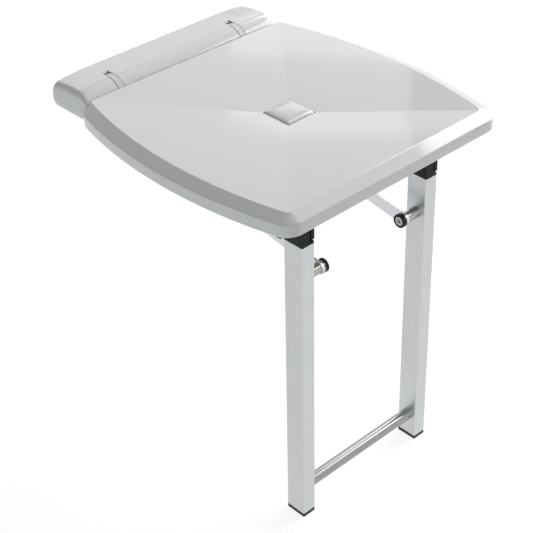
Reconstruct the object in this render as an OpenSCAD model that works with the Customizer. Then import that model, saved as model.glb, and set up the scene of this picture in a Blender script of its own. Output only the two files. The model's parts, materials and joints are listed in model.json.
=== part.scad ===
// Wall-hung folding shower seat with two drop-down front legs.
// X runs along the wall, Y points into the wall, Z is up. The origin is the
// middle of the four inner wall screws, on the wall. All sizes are in mm.
// Heights are measured from the floor and moved into that frame at the end.

/* [Seat] */
// Height of the seat's rim above the floor
seat_height = 500; // [485:1:520]
// Depth of the seat, front edge to back edge
seat_depth = 368; // [352:1:384]
// Width of the seat between its corners
seat_corner_width = 350; // [330:1:370]
// How far each side bows out beyond the corners
seat_bow = 26; // [12:1:32]
// Corner radius of the seat in plan
seat_corner_radius = 24; // [23:1:32]
// Height of the upright side
seat_side = 16; // [13:0.5:18]
// Rise of the bevel from the side to the rim
bevel_rise = 6.5; // [5:0.5:8]
// Width of the bevel in plan
bevel_width = 17; // [12:0.5:20]
// Fall of the sitting surface from the rim to the drain
seat_fall = 5; // [3:0.5:6]
// Wall thickness of the seat moulding
seat_wall = 4; // [3:0.25:4.5]
// Thickness of the ribs under the seat
rib_thickness = 2.5; // [2:0.25:4]
// Distance between the ribs under the seat
rib_pitch = 48; // [36:1:60]

/* [Drain] */
// Side of the square drain hole
drain_size = 46; // [40:1:52]
// Distance of the drain's middle behind the front edge
drain_setback = 183; // [165:1:200]
// Gap all round the drain plug
drain_gap = 1.2; // [0.8:0.1:2]
// Distance of the plug's edge below the edge of the drain hole
plug_sink = 0.8; // [0:0.2:1.2]
// Height of the plug's crown above its edge
plug_crown = 3.6; // [2:0.2:5]
// Diameter of the plug's stem
plug_stem_diameter = 8; // [6:0.5:10]

/* [Wall brackets] */
// Thickness of the plate on the wall
plate_thickness = 4; // [3:0.5:5]
// Spacing of the four inner wall screws along the wall
wall_hole_spacing = 110; // [100:1:116]
// Spacing of the four inner wall screws in height
wall_hole_rise = 74; // [66:1:80]
// Height of the upper wall screws above the hinge axis
wall_hole_lift = 6; // [3:0.5:9]
// Spacing of the two outer wall screws
outer_hole_spacing = 240; // [234:1:250]
// Diameter of the wall screw holes
wall_hole_diameter = 8.5; // [6.5:0.5:9]
// Thickness of the cheeks that hold the hinge pin
cheek_thickness = 4; // [3:0.5:4.5]
// Thickness of the lugs that hold the strut
lug_thickness = 3.5; // [2.5:0.5:4]

/* [Cover] */
// Length of the cover along the wall
cover_length = 324; // [310:1:350]
// Radius of the cover's round front
cover_radius = 25; // [23:0.5:25.5]
// Height of the cover below the hinge axis
cover_drop = 14; // [13:0.5:15]
// Wall thickness of the cover
cover_wall = 2.5; // [2:0.25:2.5]
// Rounding of the cover's ends
cover_end_round = 8; // [5:0.5:10]
// Fall of the cover's top from the arms to its ends
cover_crown = 3.5; // [2:0.5:4]
// Gap each side of the arm in its slot
slot_gap = 0.8; // [0.6:0.1:1.2]

/* [Seat hinge] */
// Distance of the hinge axis from the wall
hinge_to_wall = 44; // [42:0.5:48]
// Height of the hinge axis below the seat's rim
hinge_below_rim = 20; // [19:0.5:21]
// Diameter of the seat hinge pins
hinge_pin_diameter = 10; // [8:0.5:12]
// Wall thickness of the bush in the arm
bush_wall = 1.5; // [1:0.25:2]
// Clear gap between the seat's back edge and the cover
seat_gap = 2.5; // [2:0.25:4]

/* [Seat rails] */
// Distance of each rail's middle inside the middle of its leg
rail_inset = 3.5; // [2.5:0.25:4.5]
// Thickness of a rail
rail_thickness = 8.6; // [8:0.1:9]
// Height of a rail
rail_height = 16; // [15:0.5:17]
// Number of screws that hold each rail to the seat
rail_screw_count = 3; // [2:1:4]

/* [Legs] */
// Distance between the middles of the two legs
leg_spacing = 212; // [210:0.5:214]
// Width of a leg tube, along the wall
leg_width = 20; // [19:0.5:22]
// Depth of a leg tube, front to back
leg_depth = 30; // [28:0.5:34]
// Wall thickness of a leg tube
leg_wall = 2; // [1.5:0.25:2.5]
// Edge radius of a leg tube
leg_edge = 1.2; // [0.6:0.2:1.4]
// Distance of a leg tube's top below the seat's rim
leg_top_drop = 82; // [80:1:92]
// Distance of the seat's front edge ahead of the legs
leg_setback = 43; // [36:1:50]
// Height of the foot below the tube
foot_height = 6; // [4:0.5:10]
// Length of the foot's plug inside the tube
foot_plug = 24; // [15:1:30]
// Diameter of the bar between the legs
crossbar_diameter = 16; // [14:0.5:20]
// Wall thickness of the bar between the legs
crossbar_wall = 1.5; // [1:0.25:2]
// Height of the bar above the floor
crossbar_height = 37; // [34:1:70]

/* [Leg hinge] */
// Distance of the leg's hinge axis behind the leg's front
knuckle_setback = 40; // [38:0.5:44]
// Height of the leg's hinge axis above the tube
knuckle_rise = 9; // [8.5:0.25:11]
// Width of the knuckle on the leg
knuckle_width = 12.5; // [11:0.25:12.5]
// Radius of the knuckle round its pin
knuckle_radius = 12; // [11:0.25:12.5]
// Width of the lug that comes down from the seat
drop_lug_width = 5.5; // [4.5:0.25:5.5]
// Radius of that lug round the pin
drop_lug_radius = 10.5; // [9:0.25:11]
// Thickness of the collar on top of the tube
collar_thickness = 2.5; // [1.5:0.25:2.5]
// Diameter of the leg hinge pins
leg_pin_diameter = 8; // [6:0.5:9]
// Length of the knuckle's plug inside the tube
knuckle_plug = 32; // [20:1:40]

/* [Struts] */
// Distance of the strut's pin on the leg below the tube's top
strut_pin_drop = 53; // [50:1:60]
// Height of the strut bar
strut_height = 16; // [14:0.5:17]
// Thickness of the strut bar
strut_thickness = 4; // [3:0.25:5]
// Length of the spacer between leg and strut
spacer_length = 20; // [18:0.5:21]
// Diameter of the spacer
spacer_diameter = 14.5; // [13:0.5:16]
// Diameter of the strut's pivot screw
strut_pin_diameter = 8; // [6:0.5:9]
// Diameter of the black cap on the pivot
cap_diameter = 18; // [16:0.5:19]
// Length of the black cap
cap_length = 5.7; // [5:0.1:7]
// Thickness of the washer under the cap
strut_washer_thickness = 1; // [0.8:0.1:1.5]

/* [Clearances] */
// Radial gap of a running fit
running_gap = 0.08; // [0.05:0.01:0.1]
// Gap between pieces that are fitted together and don't move
fitting_gap = 0.1; // [0.05:0.01:0.15]
// Side gap between faces that turn past each other
side_gap = 0.3; // [0.2:0.05:0.35]
// Radial gap in the strut's front eye
strut_eye_gap = 0.3; // [0.25:0.05:0.4]

/* [Hidden] */
$fn = 64;
hull_facets = 32;
thin = 0.01;
through = 1;
LEFT = -1;
RIGHT = 1;

// The pivots of the folding linkage, each as [y, height]. The strut's wall pivot
// follows from the other three, so the linkage is always a true parallelogram.
hinge = [-hinge_to_wall, seat_height - hinge_below_rim];
seat_back_y = hinge[0] - cover_radius - seat_gap;
seat_front_y = seat_back_y - seat_depth;
leg_top = seat_height - leg_top_drop;
leg_front_y = seat_front_y + leg_setback;
knuckle = [leg_front_y + knuckle_setback, leg_top + knuckle_rise];
strut_front = [leg_front_y + leg_depth / 2, leg_top - strut_pin_drop];
strut_rear = hinge + strut_front - knuckle;
origin_height = hinge[1] + wall_hole_lift - wall_hole_rise / 2;

// Seat moulding
seat_bottom = seat_height - bevel_rise - seat_side;
seat_mid_y = (seat_front_y + seat_back_y) / 2;
drain_y = seat_front_y + drain_setback;
side_radius = (pow(seat_depth / 2, 2) + pow(seat_bow, 2)) / (2 * seat_bow);
side_centre = seat_corner_width / 2 + seat_bow - side_radius;
corner_y = seat_depth / 2 - seat_corner_radius;
seat_corner = [side_centre + sqrt(pow(side_radius - seat_corner_radius, 2) - pow(corner_y, 2)), corner_y];
side_angle = atan2(seat_corner[1], seat_corner[0] - side_centre);
side_steps = 20;
corner_steps = 10;
rib_recess = 2;
drain_collar_lift = 3;
drain_collar_bottom = seat_bottom + drain_collar_lift;
drain_spider = 5;
drain_boss_wall = 3;
drain_boss_radius = plug_stem_diameter / 2 + drain_boss_wall;
plug_size = drain_size - 2 * drain_gap;
plug_edge = 4;
plug_corner = 2;
plug_foot = 3;
plug_bottom = seat_height - seat_fall - plug_sink - plug_edge;
spider_top = plug_bottom - plug_foot;

// Rails and their screws
rail_mid = leg_spacing / 2 - rail_inset;
rail_inner = rail_mid - rail_thickness / 2;
rail_outer = rail_mid + rail_thickness / 2;
rail_top = hinge[1] + rail_height / 2;
rail_bottom = hinge[1] - rail_height / 2;
rail_end_inset = 3;
rail_front_y = leg_front_y + rail_end_inset;
bush_radius = hinge_pin_diameter / 2 + bush_wall;
hub_wall = 4.5;
hub_radius = bush_radius + hub_wall;
arm_radius = cover_radius - 0.2;
arm_back = 11;
rail_screw_first = 30;
rail_screw_last = 36;
rail_screw_radius = 2;
rail_screw_bite = 5;
rail_screw_head_radius = 3.6;
rail_screw_head = 2.8;
rail_boss_radius = 5;
rail_boss_height = 8;

// Cover
cover_top = hinge[1] + cover_radius;
cover_bottom = hinge[1] - cover_drop;
cover_back_round = 6;
cover_end_steps = 6;
cover_straight = cover_length / 2 - cover_end_round;
cover_crown_start = rail_outer + slot_gap;
cover_crown_steps = 4;
slot_back = arm_back + 1;
cover_screw_inset = 25;
cover_screw_x = cover_length / 2 - cover_screw_inset;
cover_screw_y = -16;
cover_screw_radius = 2;
cover_screw_length = 9;
cover_screw_head_radius = 3.8;
cover_screw_head = 1.8;

// Wall brackets
cheek_inner = rail_inner - side_gap;
cheek_outer = rail_outer + side_gap;
cheek_radius = 11;
screw_margin = 12;
tab_half_width = 9;
plate_inner = wall_hole_spacing / 2 - screw_margin;
plate_outer = cover_screw_x + tab_half_width;
plate_top = cover_top - cover_back_round - 0.5;
plate_bottom = cover_bottom + cover_back_round + 0.5;
tongue_bottom = origin_height - wall_hole_rise / 2 - screw_margin;
tab_inner = cover_screw_x - tab_half_width;
tab_thickness = 3;
tab_reach = 24;
tab_rise = 12;
lug_radius = 9;
lug_root = 14;
lug_margin = 4;

// Pins with a head at one end and a spring clip at the other
pin_head = 2;
pin_rim = 2.5;
pin_tail = 2;
clip_thickness = 1;
groove_depth = 0.6;

// Legs and their hinges
leg_mid = leg_spacing / 2;
leg_face = leg_mid - leg_width / 2;
plug_width = leg_width - 2 * leg_wall - 2 * fitting_gap;
plug_depth = leg_depth - 2 * leg_wall - 2 * fitting_gap;
foot_chamfer = 0.8;
head_bottom = leg_top + collar_thickness;
head_top = knuckle[1] + knuckle_radius;
head_chamfer = 3;
head_lug_gap = 3;
drop_lug_bottom = head_bottom + head_lug_gap;
bracket_gap = 1;
bracket_bottom = head_top + bracket_gap;
bracket_block = 14;
bracket_shoulder = bracket_bottom + bracket_block;
bracket_top_gap = 2;
bracket_top = rail_top - bracket_top_gap;
bracket_wing = 1.5;
bracket_inner = leg_face - bracket_wing;
bracket_outer = leg_mid + leg_width / 2;
bracket_back_y = knuckle[0] + knuckle_radius + bracket_gap;
bracket_bolt_inset = 12;
bracket_bolt_y = [leg_front_y + bracket_bolt_inset, bracket_back_y - bracket_bolt_inset];
bracket_bolt_radius = 2.5;
bracket_bolt_head_radius = 4.2;
bracket_bolt_head = 3;

// Struts and their pivots, measured from the middle of the seat
spacer_end = leg_face - spacer_length;
strut_play = 0.15;
strut_outer = spacer_end - strut_play;
strut_inner = strut_outer - strut_thickness;
cap_back = strut_inner - strut_play - strut_washer_thickness;
cap_face = cap_back - cap_length;
lug_inner = strut_inner - side_gap;
lug_outer = strut_outer + side_gap;
tongue_outer = lug_outer + lug_thickness + lug_margin;
strut_eye_radius = strut_height / 2 + 0.5;
strut_angle = atan2(strut_rear[1] - strut_front[1], strut_rear[0] - strut_front[0]);
strut_length = norm(strut_rear - strut_front);
eye_bush_radius = strut_pin_diameter / 2 + bush_wall;
screw_recess = 3;
cap_rim = 3;
screw_head_radius = cap_diameter / 2 - cap_rim;
screw_head = 2.7;
socket_across = 5;
socket_depth = 2;
nut_length = 9;
nut_radius = 7;

// ---------------------------------------------------------------- helpers

// Moves a piece from heights above the floor to the frame of the wall screws.
module in_frame() {
    translate([0, 0, -origin_height]) children();
}

// Extrudes a side profile, drawn as [y, height], from x0 to x1.
module slab(x0, x1) {
    translate([min(x0, x1), 0, 0])
        rotate([90, 0, 90]) linear_extrude(abs(x1 - x0)) children();
}

// A cylinder along X from x0 to x1, centred on a pivot given as [y, height].
module rod(x0, x1, pivot, radius) {
    translate([min(x0, x1), pivot[0], pivot[1]])
        rotate([0, 90, 0]) cylinder(h = abs(x1 - x0), r = radius);
}

// A round bush or washer along X with a bore.
module ring(x0, x1, pivot, radius, bore) {
    difference() {
        rod(x0, x1, pivot, radius);
        rod(min(x0, x1) - through, max(x0, x1) + through, pivot, bore);
    }
}

// A box given by two opposite corners.
module block(a, b) {
    low = [min(a[0], b[0]), min(a[1], b[1]), min(a[2], b[2])];
    high = [max(a[0], b[0]), max(a[1], b[1]), max(a[2], b[2])];
    translate(low) cube(high - low);
}

// A rectangle with its low corner on the origin and true round corners.
module round_rectangle(size, radius) {
    translate([radius, 0]) square([size[0] - 2 * radius, size[1]]);
    translate([0, radius]) square([size[0], size[1] - 2 * radius]);
    for (x = [radius, size[0] - radius], y = [radius, size[1] - radius])
        translate([x, y]) circle(radius);
}

// A pivot pin with a head on the inner side and a groove for a clip on the outer.
module headed_pin(side, inner, outer, pivot, radius) {
    groove = outer + 0.1;
    rod(side * (inner - pin_head), side * inner, pivot, radius + pin_rim);
    rod(side * inner, side * groove, pivot, radius);
    rod(side * groove, side * (groove + clip_thickness), pivot, radius - groove_depth);
    rod(side * (groove + clip_thickness), side * (groove + clip_thickness + pin_tail), pivot, radius);
}

// The spring clip that sits in such a pin's groove.
module pin_clip(side, outer, pivot, radius) {
    groove = outer + 0.1;
    ring(side * groove, side * (groove + clip_thickness), pivot, radius + pin_rim, radius - groove_depth);
}

// ---------------------------------------------------------------- seat

// One quarter of the seat's outline in plan, drawn in by inset: the bowed side
// from its middle to the corner, then the corner. Both keep their centres, so the
// outlines at all insets run parallel.
function seat_quarter(inset) = concat(
    [for (step = [0 : side_steps]) let (angle = side_angle * step / side_steps)
        [side_centre, 0] + (side_radius - inset) * [cos(angle), sin(angle)]],
    [for (step = [1 : corner_steps]) let (angle = side_angle + (90 - side_angle) * step / corner_steps)
        seat_corner + (seat_corner_radius - inset) * [cos(angle), sin(angle)]]
);

function reversed(points) = [for (i = [len(points) - 1 : -1 : 0]) points[i]];

module seat_plan(inset) {
    quarter = seat_quarter(inset);
    half = concat([for (point = reversed(quarter)) [point[0], -point[1]]], quarter);
    translate([0, seat_mid_y])
        polygon(concat(half, [for (point = reversed(half)) [-point[0], point[1]]]));
}

// A thin plate of the seat's outline, used as a station of a hull.
module seat_station(inset, height, thickness) {
    translate([0, 0, height]) linear_extrude(thickness) seat_plan(inset);
}

// The space above the sitting surface: four planes that fall to the drain.
module seat_dish(drop) {
    hull() {
        seat_station(bevel_width, seat_height - drop, through);
        translate([0, drain_y, seat_height - seat_fall - drop])
            linear_extrude(through) square(drain_size, center = true);
    }
}

// The hollow under the seat, before its ribs are put back.
module seat_hollow() {
    difference() {
        hull() {
            seat_station(seat_wall, seat_bottom - through, seat_side - seat_wall / 3 + through);
            seat_station(bevel_width + seat_wall / 2, seat_height - seat_wall - thin, thin);
        }
        seat_dish(seat_wall);
    }
}

// Lengthwise and crosswise ribs, with a pair of walls along each rail.
module seat_ribs() {
    low = seat_bottom + rib_recess;
    channel_wall = rail_thickness / 2 + rib_thickness;
    lengthwise = [rib_pitch, rail_mid - channel_wall, rail_mid + channel_wall, rail_mid + rib_pitch];
    for (x = concat([0], lengthwise, -lengthwise))
        block([x - rib_thickness / 2, seat_front_y, low], [x + rib_thickness / 2, seat_back_y, seat_height]);
    for (y = [drain_y - 2 * rib_pitch : rib_pitch : seat_back_y])
        block(
            [-seat_corner_width, y - rib_thickness / 2, low],
            [seat_corner_width, y + rib_thickness / 2, seat_height]
        );
}

// The collar round the drain hole with a spider that carries the plug.
module drain_seat() {
    outer = drain_size + 2 * seat_wall;
    translate([-outer / 2, drain_y - outer / 2, drain_collar_bottom])
        cube([outer, outer, seat_height - drain_collar_bottom]);
}

module drain_opening() {
    difference() {
        translate([-drain_size / 2, drain_y - drain_size / 2, seat_bottom - through])
            cube([drain_size, drain_size, seat_height]);
        for (turn = [0, 90])
            translate([0, drain_y, drain_collar_bottom]) rotate(turn)
                translate([-drain_size, -drain_spider / 2, 0])
                    cube([2 * drain_size, drain_spider, spider_top - drain_collar_bottom]);
        translate([0, drain_y, drain_collar_bottom])
            cylinder(h = spider_top - drain_collar_bottom, r = drain_boss_radius);
    }
    translate([0, drain_y, seat_bottom - through])
        cylinder(h = seat_height, r = plug_stem_diameter / 2 + fitting_gap);
}

// Places of the screws that hold the seat to its rails.
function rail_screw_y() = let (
    first = bracket_back_y + rail_screw_first,
    last = seat_back_y - rail_screw_last,
    step = (last - first) / (rail_screw_count - 1)
) [for (i = [0 : rail_screw_count - 1]) first + i * step];

module seat_shell() {
    color("whitesmoke") in_frame() difference() {
        hull() {
            seat_station(0, seat_bottom, seat_side);
            seat_station(bevel_width, seat_height - thin, thin);
        }
        seat_dish(0);
        difference() {
            seat_hollow();
            seat_ribs();
            drain_seat();
            for (side = [LEFT, RIGHT], y = rail_screw_y())
                translate([side * rail_mid, y, rail_top])
                    cylinder(h = rail_boss_height, r = rail_boss_radius);
        }
        drain_opening();
        for (side = [LEFT, RIGHT]) {
            block(
                [side * (rail_inner - fitting_gap), rail_front_y - 1, seat_bottom - through],
                [side * (rail_outer + fitting_gap), seat_back_y + through, rail_top]
            );
            block(
                [side * (bracket_inner - 1), leg_front_y - 1, seat_bottom - through],
                [side * (bracket_outer + 1), bracket_back_y + 1, rail_top]
            );
            for (y = rail_screw_y())
                translate([side * rail_mid, y, rail_top - through])
                    cylinder(h = rail_screw_bite + through, r = rail_screw_radius + fitting_gap / 2);
        }
    }
}

module drain_plug() {
    // Stations of the pillow-shaped crown, as [share of the width, share of the rise].
    crown = [[1, 0], [0.86, 0.5], [0.62, 0.82], [0.3, 0.97], [0.06, 1]];
    color("white") in_frame() translate([0, drain_y, 0]) {
        hull() {
            translate([0, 0, plug_bottom]) plug_station(1, plug_edge);
            for (station = crown)
                translate([0, 0, plug_bottom + plug_edge + plug_crown * station[1]])
                    plug_station(station[0], thin);
        }
        translate([0, 0, plug_bottom - plug_foot])
            cylinder(h = plug_foot, r = drain_boss_radius);
        translate([0, 0, drain_collar_bottom])
            cylinder(h = plug_bottom - drain_collar_bottom, r = plug_stem_diameter / 2);
    }
}

module plug_station(share, thickness) {
    linear_extrude(thickness)
        translate([-plug_size * share / 2, -plug_size * share / 2])
            round_rectangle([plug_size * share, plug_size * share], plug_corner * share, $fn = hull_facets);
}

// ---------------------------------------------------------------- rails

// Side profile of a rail: a straight bar that ends in a round arm. The arm's rim
// runs just under the cover's round front and fills its slot as the seat turns.
module rail_profile() {
    difference() {
        union() {
            translate(hinge) intersection() {
                circle(arm_radius);
                polygon([
                    [-arm_radius, -rail_height / 2], [0, -rail_height / 2], [0, 0], [arm_back, 0],
                    [arm_back, arm_radius], [-arm_radius, arm_radius]
                ]);
            }
            translate(hinge) circle(hub_radius);
            translate([rail_front_y, rail_bottom]) square([hinge[0] - rail_front_y, rail_height]);
        }
        translate(hinge) circle(bush_radius + fitting_gap);
        for (y = bracket_bolt_y) translate([y, hinge[1]]) circle(bracket_bolt_radius + fitting_gap);
    }
}

module seat_rail(side) {
    color("white") in_frame() difference() {
        slab(side * rail_inner, side * rail_outer) rail_profile();
        for (y = rail_screw_y()) translate([side * rail_mid, y, rail_bottom - through]) {
            cylinder(h = rail_height + 2 * through, r = rail_screw_radius + fitting_gap);
            cylinder(h = rail_screw_head + through, r = rail_screw_head_radius + fitting_gap);
        }
    }
}

module hinge_bush(side) {
    color("dimgray") in_frame()
        ring(side * rail_inner, side * rail_outer, hinge, bush_radius, hinge_pin_diameter / 2 + running_gap);
}

module rail_screws() {
    color("silver") in_frame() for (side = [LEFT, RIGHT], y = rail_screw_y())
        translate([side * rail_mid, y, rail_bottom]) {
            cylinder(h = rail_height + rail_screw_bite - through / 2, r = rail_screw_radius);
            cylinder(h = rail_screw_head, r = rail_screw_head_radius);
        }
}

// ---------------------------------------------------------------- wall side

// Side profile of the cover, drawn in by inset except at the wall.
module cover_section(inset, back_round, fall = 0) {
    top = cover_top - fall - inset;
    bottom = cover_bottom + inset;
    intersection() {
        translate(hinge - [0, fall]) circle(cover_radius - inset);
        translate([hinge[0] - cover_radius, bottom]) square([cover_radius, top - bottom]);
    }
    translate([hinge[0], bottom]) square([-hinge[0] - cover_back_round, top - bottom]);
    translate([-cover_back_round, bottom + back_round]) square([back_round, top - bottom - 2 * back_round]);
    for (height = [bottom + back_round, top - back_round])
        translate([-cover_back_round, height]) circle(back_round);
}

// How far the cover's top has fallen at a distance from the middle.
function cover_fall(x) = cover_crown * pow((x - cover_crown_start) / (cover_straight - cover_crown_start), 2);

// A thin slice of the cover's section, lowered by its crown.
module cover_slice(side, x, inset, back_round) {
    slab(side * (x - thin), side * x) cover_section(inset, back_round, cover_fall(x), $fn = hull_facets);
}

// The crowned stretch of the cover at one side.
module cover_crowned(side, inset, back_round) {
    for (step = [0 : cover_crown_steps])
        cover_slice(
            side,
            cover_crown_start + (cover_straight - cover_crown_start) * step / cover_crown_steps,
            inset,
            back_round
        );
}

// One end of the cover: its crowned stretch, then sections that shrink along a quarter circle.
module cover_end(side) {
    hull() {
        cover_crowned(side, 0, cover_back_round);
        for (step = [1 : cover_end_steps]) {
            angle = 90 * step / cover_end_steps;
            cover_slice(
                side,
                cover_straight + cover_end_round * sin(angle),
                cover_end_round * (1 - cos(angle)),
                cover_back_round
            );
        }
    }
}

// The hollow inside one end of the cover.
module cover_end_hollow(side, back_round) {
    hull() {
        cover_crowned(side, cover_wall, back_round);
        cover_slice(
            side,
            cover_straight + cover_end_round / 2,
            cover_wall + cover_end_round / 4,
            back_round
        );
    }
}

module bracket_cover() {
    inner_round = cover_back_round - cover_wall;
    color("whitesmoke") in_frame() difference() {
        union() {
            slab(-cover_crown_start, cover_crown_start) cover_section(0, cover_back_round);
            for (side = [LEFT, RIGHT]) cover_end(side);
        }
        slab(-cover_crown_start, cover_crown_start) cover_section(cover_wall, inner_round);
        for (side = [LEFT, RIGHT]) cover_end_hollow(side, inner_round);
        block(
            [-cover_straight, -cover_back_round, cover_bottom + cover_back_round],
            [cover_straight, through, cover_top - cover_back_round]
        );
        for (side = [LEFT, RIGHT]) {
            block(
                [side * (rail_inner - slot_gap), hinge[0] - cover_radius - through, rail_bottom - slot_gap],
                [side * (rail_outer + slot_gap), hinge[0] + slot_back, cover_top + through]
            );
            block(
                [side * (plate_inner - slot_gap), -plate_thickness - slot_gap, cover_bottom - through],
                [side * (tongue_outer + slot_gap), through, plate_bottom + through]
            );
            translate([side * cover_screw_x, cover_screw_y, cover_bottom - through])
                cylinder(h = cover_wall + 2 * through, r = cover_screw_radius + fitting_gap);
        }
    }
}

module cover_screws() {
    color("silver") in_frame() for (side = [LEFT, RIGHT])
        translate([side * cover_screw_x, cover_screw_y, cover_bottom]) {
            cylinder(h = cover_screw_length, r = cover_screw_radius);
            translate([0, 0, -cover_screw_head]) cylinder(h = cover_screw_head, r = cover_screw_head_radius);
        }
}

// A cheek that carries the seat's hinge pin, from the wall plate forwards.
module cheek_profile() {
    difference() {
        union() {
            translate(hinge) circle(cheek_radius);
            polygon([
                hinge - [0, cheek_radius], [-plate_thickness, plate_bottom + 1],
                [-plate_thickness, hinge[1] + cheek_radius], hinge + [0, cheek_radius]
            ]);
        }
        translate(hinge) circle(hinge_pin_diameter / 2 + running_gap);
    }
}

// A lug that carries the strut's wall pin, tapering from the wall plate forwards.
module lug_profile() {
    difference() {
        union() {
            translate(strut_rear) circle(lug_radius);
            polygon([
                [-plate_thickness, strut_rear[1] - lug_root], [-plate_thickness, strut_rear[1] + lug_root],
                strut_rear + [0, lug_radius], strut_rear - [0, lug_radius]
            ]);
        }
        translate(strut_rear) circle(strut_pin_diameter / 2 + running_gap);
    }
}

// The tab under the plate that the cover is screwed to.
module tab_profile() {
    low = cover_bottom + cover_wall;
    neck = plate_thickness + tab_thickness;
    polygon([
        [-tab_reach, low], [-neck, low], [-neck, plate_bottom + 1], [-plate_thickness, plate_bottom + 1],
        [-plate_thickness, low + tab_rise], [-neck - tab_thickness, low + tab_rise],
        [-neck - tab_thickness, low + tab_thickness], [-tab_reach, low + tab_thickness]
    ]);
}

module wall_bracket(side) {
    upper = origin_height + wall_hole_rise / 2;
    lower = origin_height - wall_hole_rise / 2;
    holes = [
        [wall_hole_spacing / 2, upper], [wall_hole_spacing / 2, lower], [outer_hole_spacing / 2, upper]
    ];
    color("gainsboro") in_frame() difference() {
        union() {
            block([side * plate_inner, -plate_thickness, plate_bottom], [side * plate_outer, 0, plate_top]);
            block(
                [side * plate_inner, -plate_thickness, tongue_bottom],
                [side * tongue_outer, 0, plate_bottom]
            );
            slab(side * (cheek_inner - cheek_thickness), side * cheek_inner) cheek_profile();
            slab(side * cheek_outer, side * (cheek_outer + cheek_thickness)) cheek_profile();
            slab(side * (lug_inner - lug_thickness), side * lug_inner) lug_profile();
            slab(side * lug_outer, side * (lug_outer + lug_thickness)) lug_profile();
            slab(side * tab_inner, side * plate_outer) tab_profile();
        }
        for (hole = holes)
            translate([side * hole[0], through, hole[1]]) rotate([90, 0, 0])
                cylinder(h = plate_thickness + 2 * through, r = wall_hole_diameter / 2);
        translate([side * cover_screw_x, cover_screw_y, cover_bottom])
            cylinder(h = cover_screw_length + through, r = cover_screw_radius + fitting_gap / 2);
    }
}

module seat_hinge_pin(side) {
    color("silver") in_frame()
        headed_pin(side, cheek_inner - cheek_thickness, cheek_outer + cheek_thickness, hinge,
            hinge_pin_diameter / 2);
}

module seat_hinge_clips() {
    color("silver") in_frame() for (side = [LEFT, RIGHT])
        pin_clip(side, cheek_outer + cheek_thickness, hinge, hinge_pin_diameter / 2);
}

module strut_wall_pin(side) {
    color("silver") in_frame()
        headed_pin(side, lug_inner - lug_thickness, lug_outer + lug_thickness, strut_rear,
            strut_pin_diameter / 2);
}

module strut_wall_clips() {
    color("silver") in_frame() for (side = [LEFT, RIGHT])
        pin_clip(side, lug_outer + lug_thickness, strut_rear, strut_pin_diameter / 2);
}

// ---------------------------------------------------------------- leg hinges

// A plug that fills the inside of a leg tube from a height upwards.
module tube_plug(side, bottom, length) {
    translate([side * leg_mid - plug_width / 2, leg_front_y + leg_wall + fitting_gap, bottom])
        cube([plug_width, plug_depth, length]);
}

// The leg's own hinge half: a plug in the tube, a collar on its top and a head that
// reaches back to the pin. Both legs use the same moulding, so it isn't mirrored.
module leg_knuckle(side) {
    x = side * leg_mid - leg_width / 2;
    color([0.13, 0.14, 0.15]) in_frame() {
        tube_plug(side, leg_top - knuckle_plug, knuckle_plug + through);
        translate([x, leg_front_y, leg_top])
            linear_extrude(collar_thickness) round_rectangle([leg_width, leg_depth], leg_edge);
        slab(x, x + knuckle_width) difference() {
            union() {
                translate(knuckle) circle(knuckle_radius);
                polygon([
                    [leg_front_y, leg_top + collar_thickness / 2], [leg_front_y, head_top - head_chamfer],
                    [leg_front_y + head_chamfer, head_top], [knuckle[0], head_top], knuckle,
                    [leg_front_y + leg_depth, leg_top + collar_thickness / 2]
                ]);
            }
            translate(knuckle) circle(leg_pin_diameter / 2 + fitting_gap / 2);
        }
    }
}

// The seat's hinge half: it grips the end of the rail and hangs one lug beside the
// knuckle, on the same hand at both legs.
module leg_bracket(side) {
    x = side * leg_mid + leg_width / 2;
    color([0.16, 0.17, 0.18]) in_frame() difference() {
        union() {
            block([x - leg_width, leg_front_y, bracket_bottom], [x, bracket_back_y, bracket_shoulder]);
            block(
                [side * bracket_inner, leg_front_y, bracket_shoulder - 2],
                [side * bracket_outer, bracket_back_y, bracket_top]
            );
            slab(x - drop_lug_width, x) {
                translate(knuckle) circle(drop_lug_radius);
                translate([leg_front_y, drop_lug_bottom])
                    square([knuckle[0] - leg_front_y, bracket_bottom + 1 - drop_lug_bottom]);
                translate(knuckle) translate([-drop_lug_radius, 0])
                    square([2 * drop_lug_radius, bracket_bottom + 1 - knuckle[1]]);
            }
        }
        rod(x - drop_lug_width - through, x + through, knuckle, leg_pin_diameter / 2 + running_gap);
        block(
            [side * (rail_inner - fitting_gap), rail_front_y - fitting_gap, rail_bottom],
            [side * (rail_outer + fitting_gap), bracket_back_y + through, bracket_top + through]
        );
        for (y = bracket_bolt_y) {
            rod(side * (bracket_inner - through), side * bracket_outer, [y, hinge[1]],
                bracket_bolt_radius + fitting_gap / 2);
            rod(side * (bracket_outer - bracket_bolt_head), side * (bracket_outer + through), [y, hinge[1]],
                bracket_bolt_head_radius + fitting_gap);
        }
    }
}

module leg_bracket_bolts() {
    color("silver") in_frame() for (side = [LEFT, RIGHT], y = bracket_bolt_y) {
        rod(side * bracket_inner, side * bracket_outer, [y, hinge[1]], bracket_bolt_radius);
        rod(side * (bracket_outer - bracket_bolt_head), side * bracket_outer, [y, hinge[1]],
            bracket_bolt_head_radius);
    }
}

module leg_pin(side) {
    x = side * leg_mid - leg_width / 2;
    color("silver") in_frame()
        rod(x + fitting_gap, x + leg_width - fitting_gap, knuckle, leg_pin_diameter / 2);
}

module knuckle_washer(side) {
    x = side * leg_mid - leg_width / 2;
    color("silver") in_frame()
        ring(x + knuckle_width, x + leg_width - drop_lug_width - fitting_gap, knuckle,
            drop_lug_radius - 2, leg_pin_diameter / 2 + fitting_gap / 2);
}

// ---------------------------------------------------------------- legs

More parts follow.
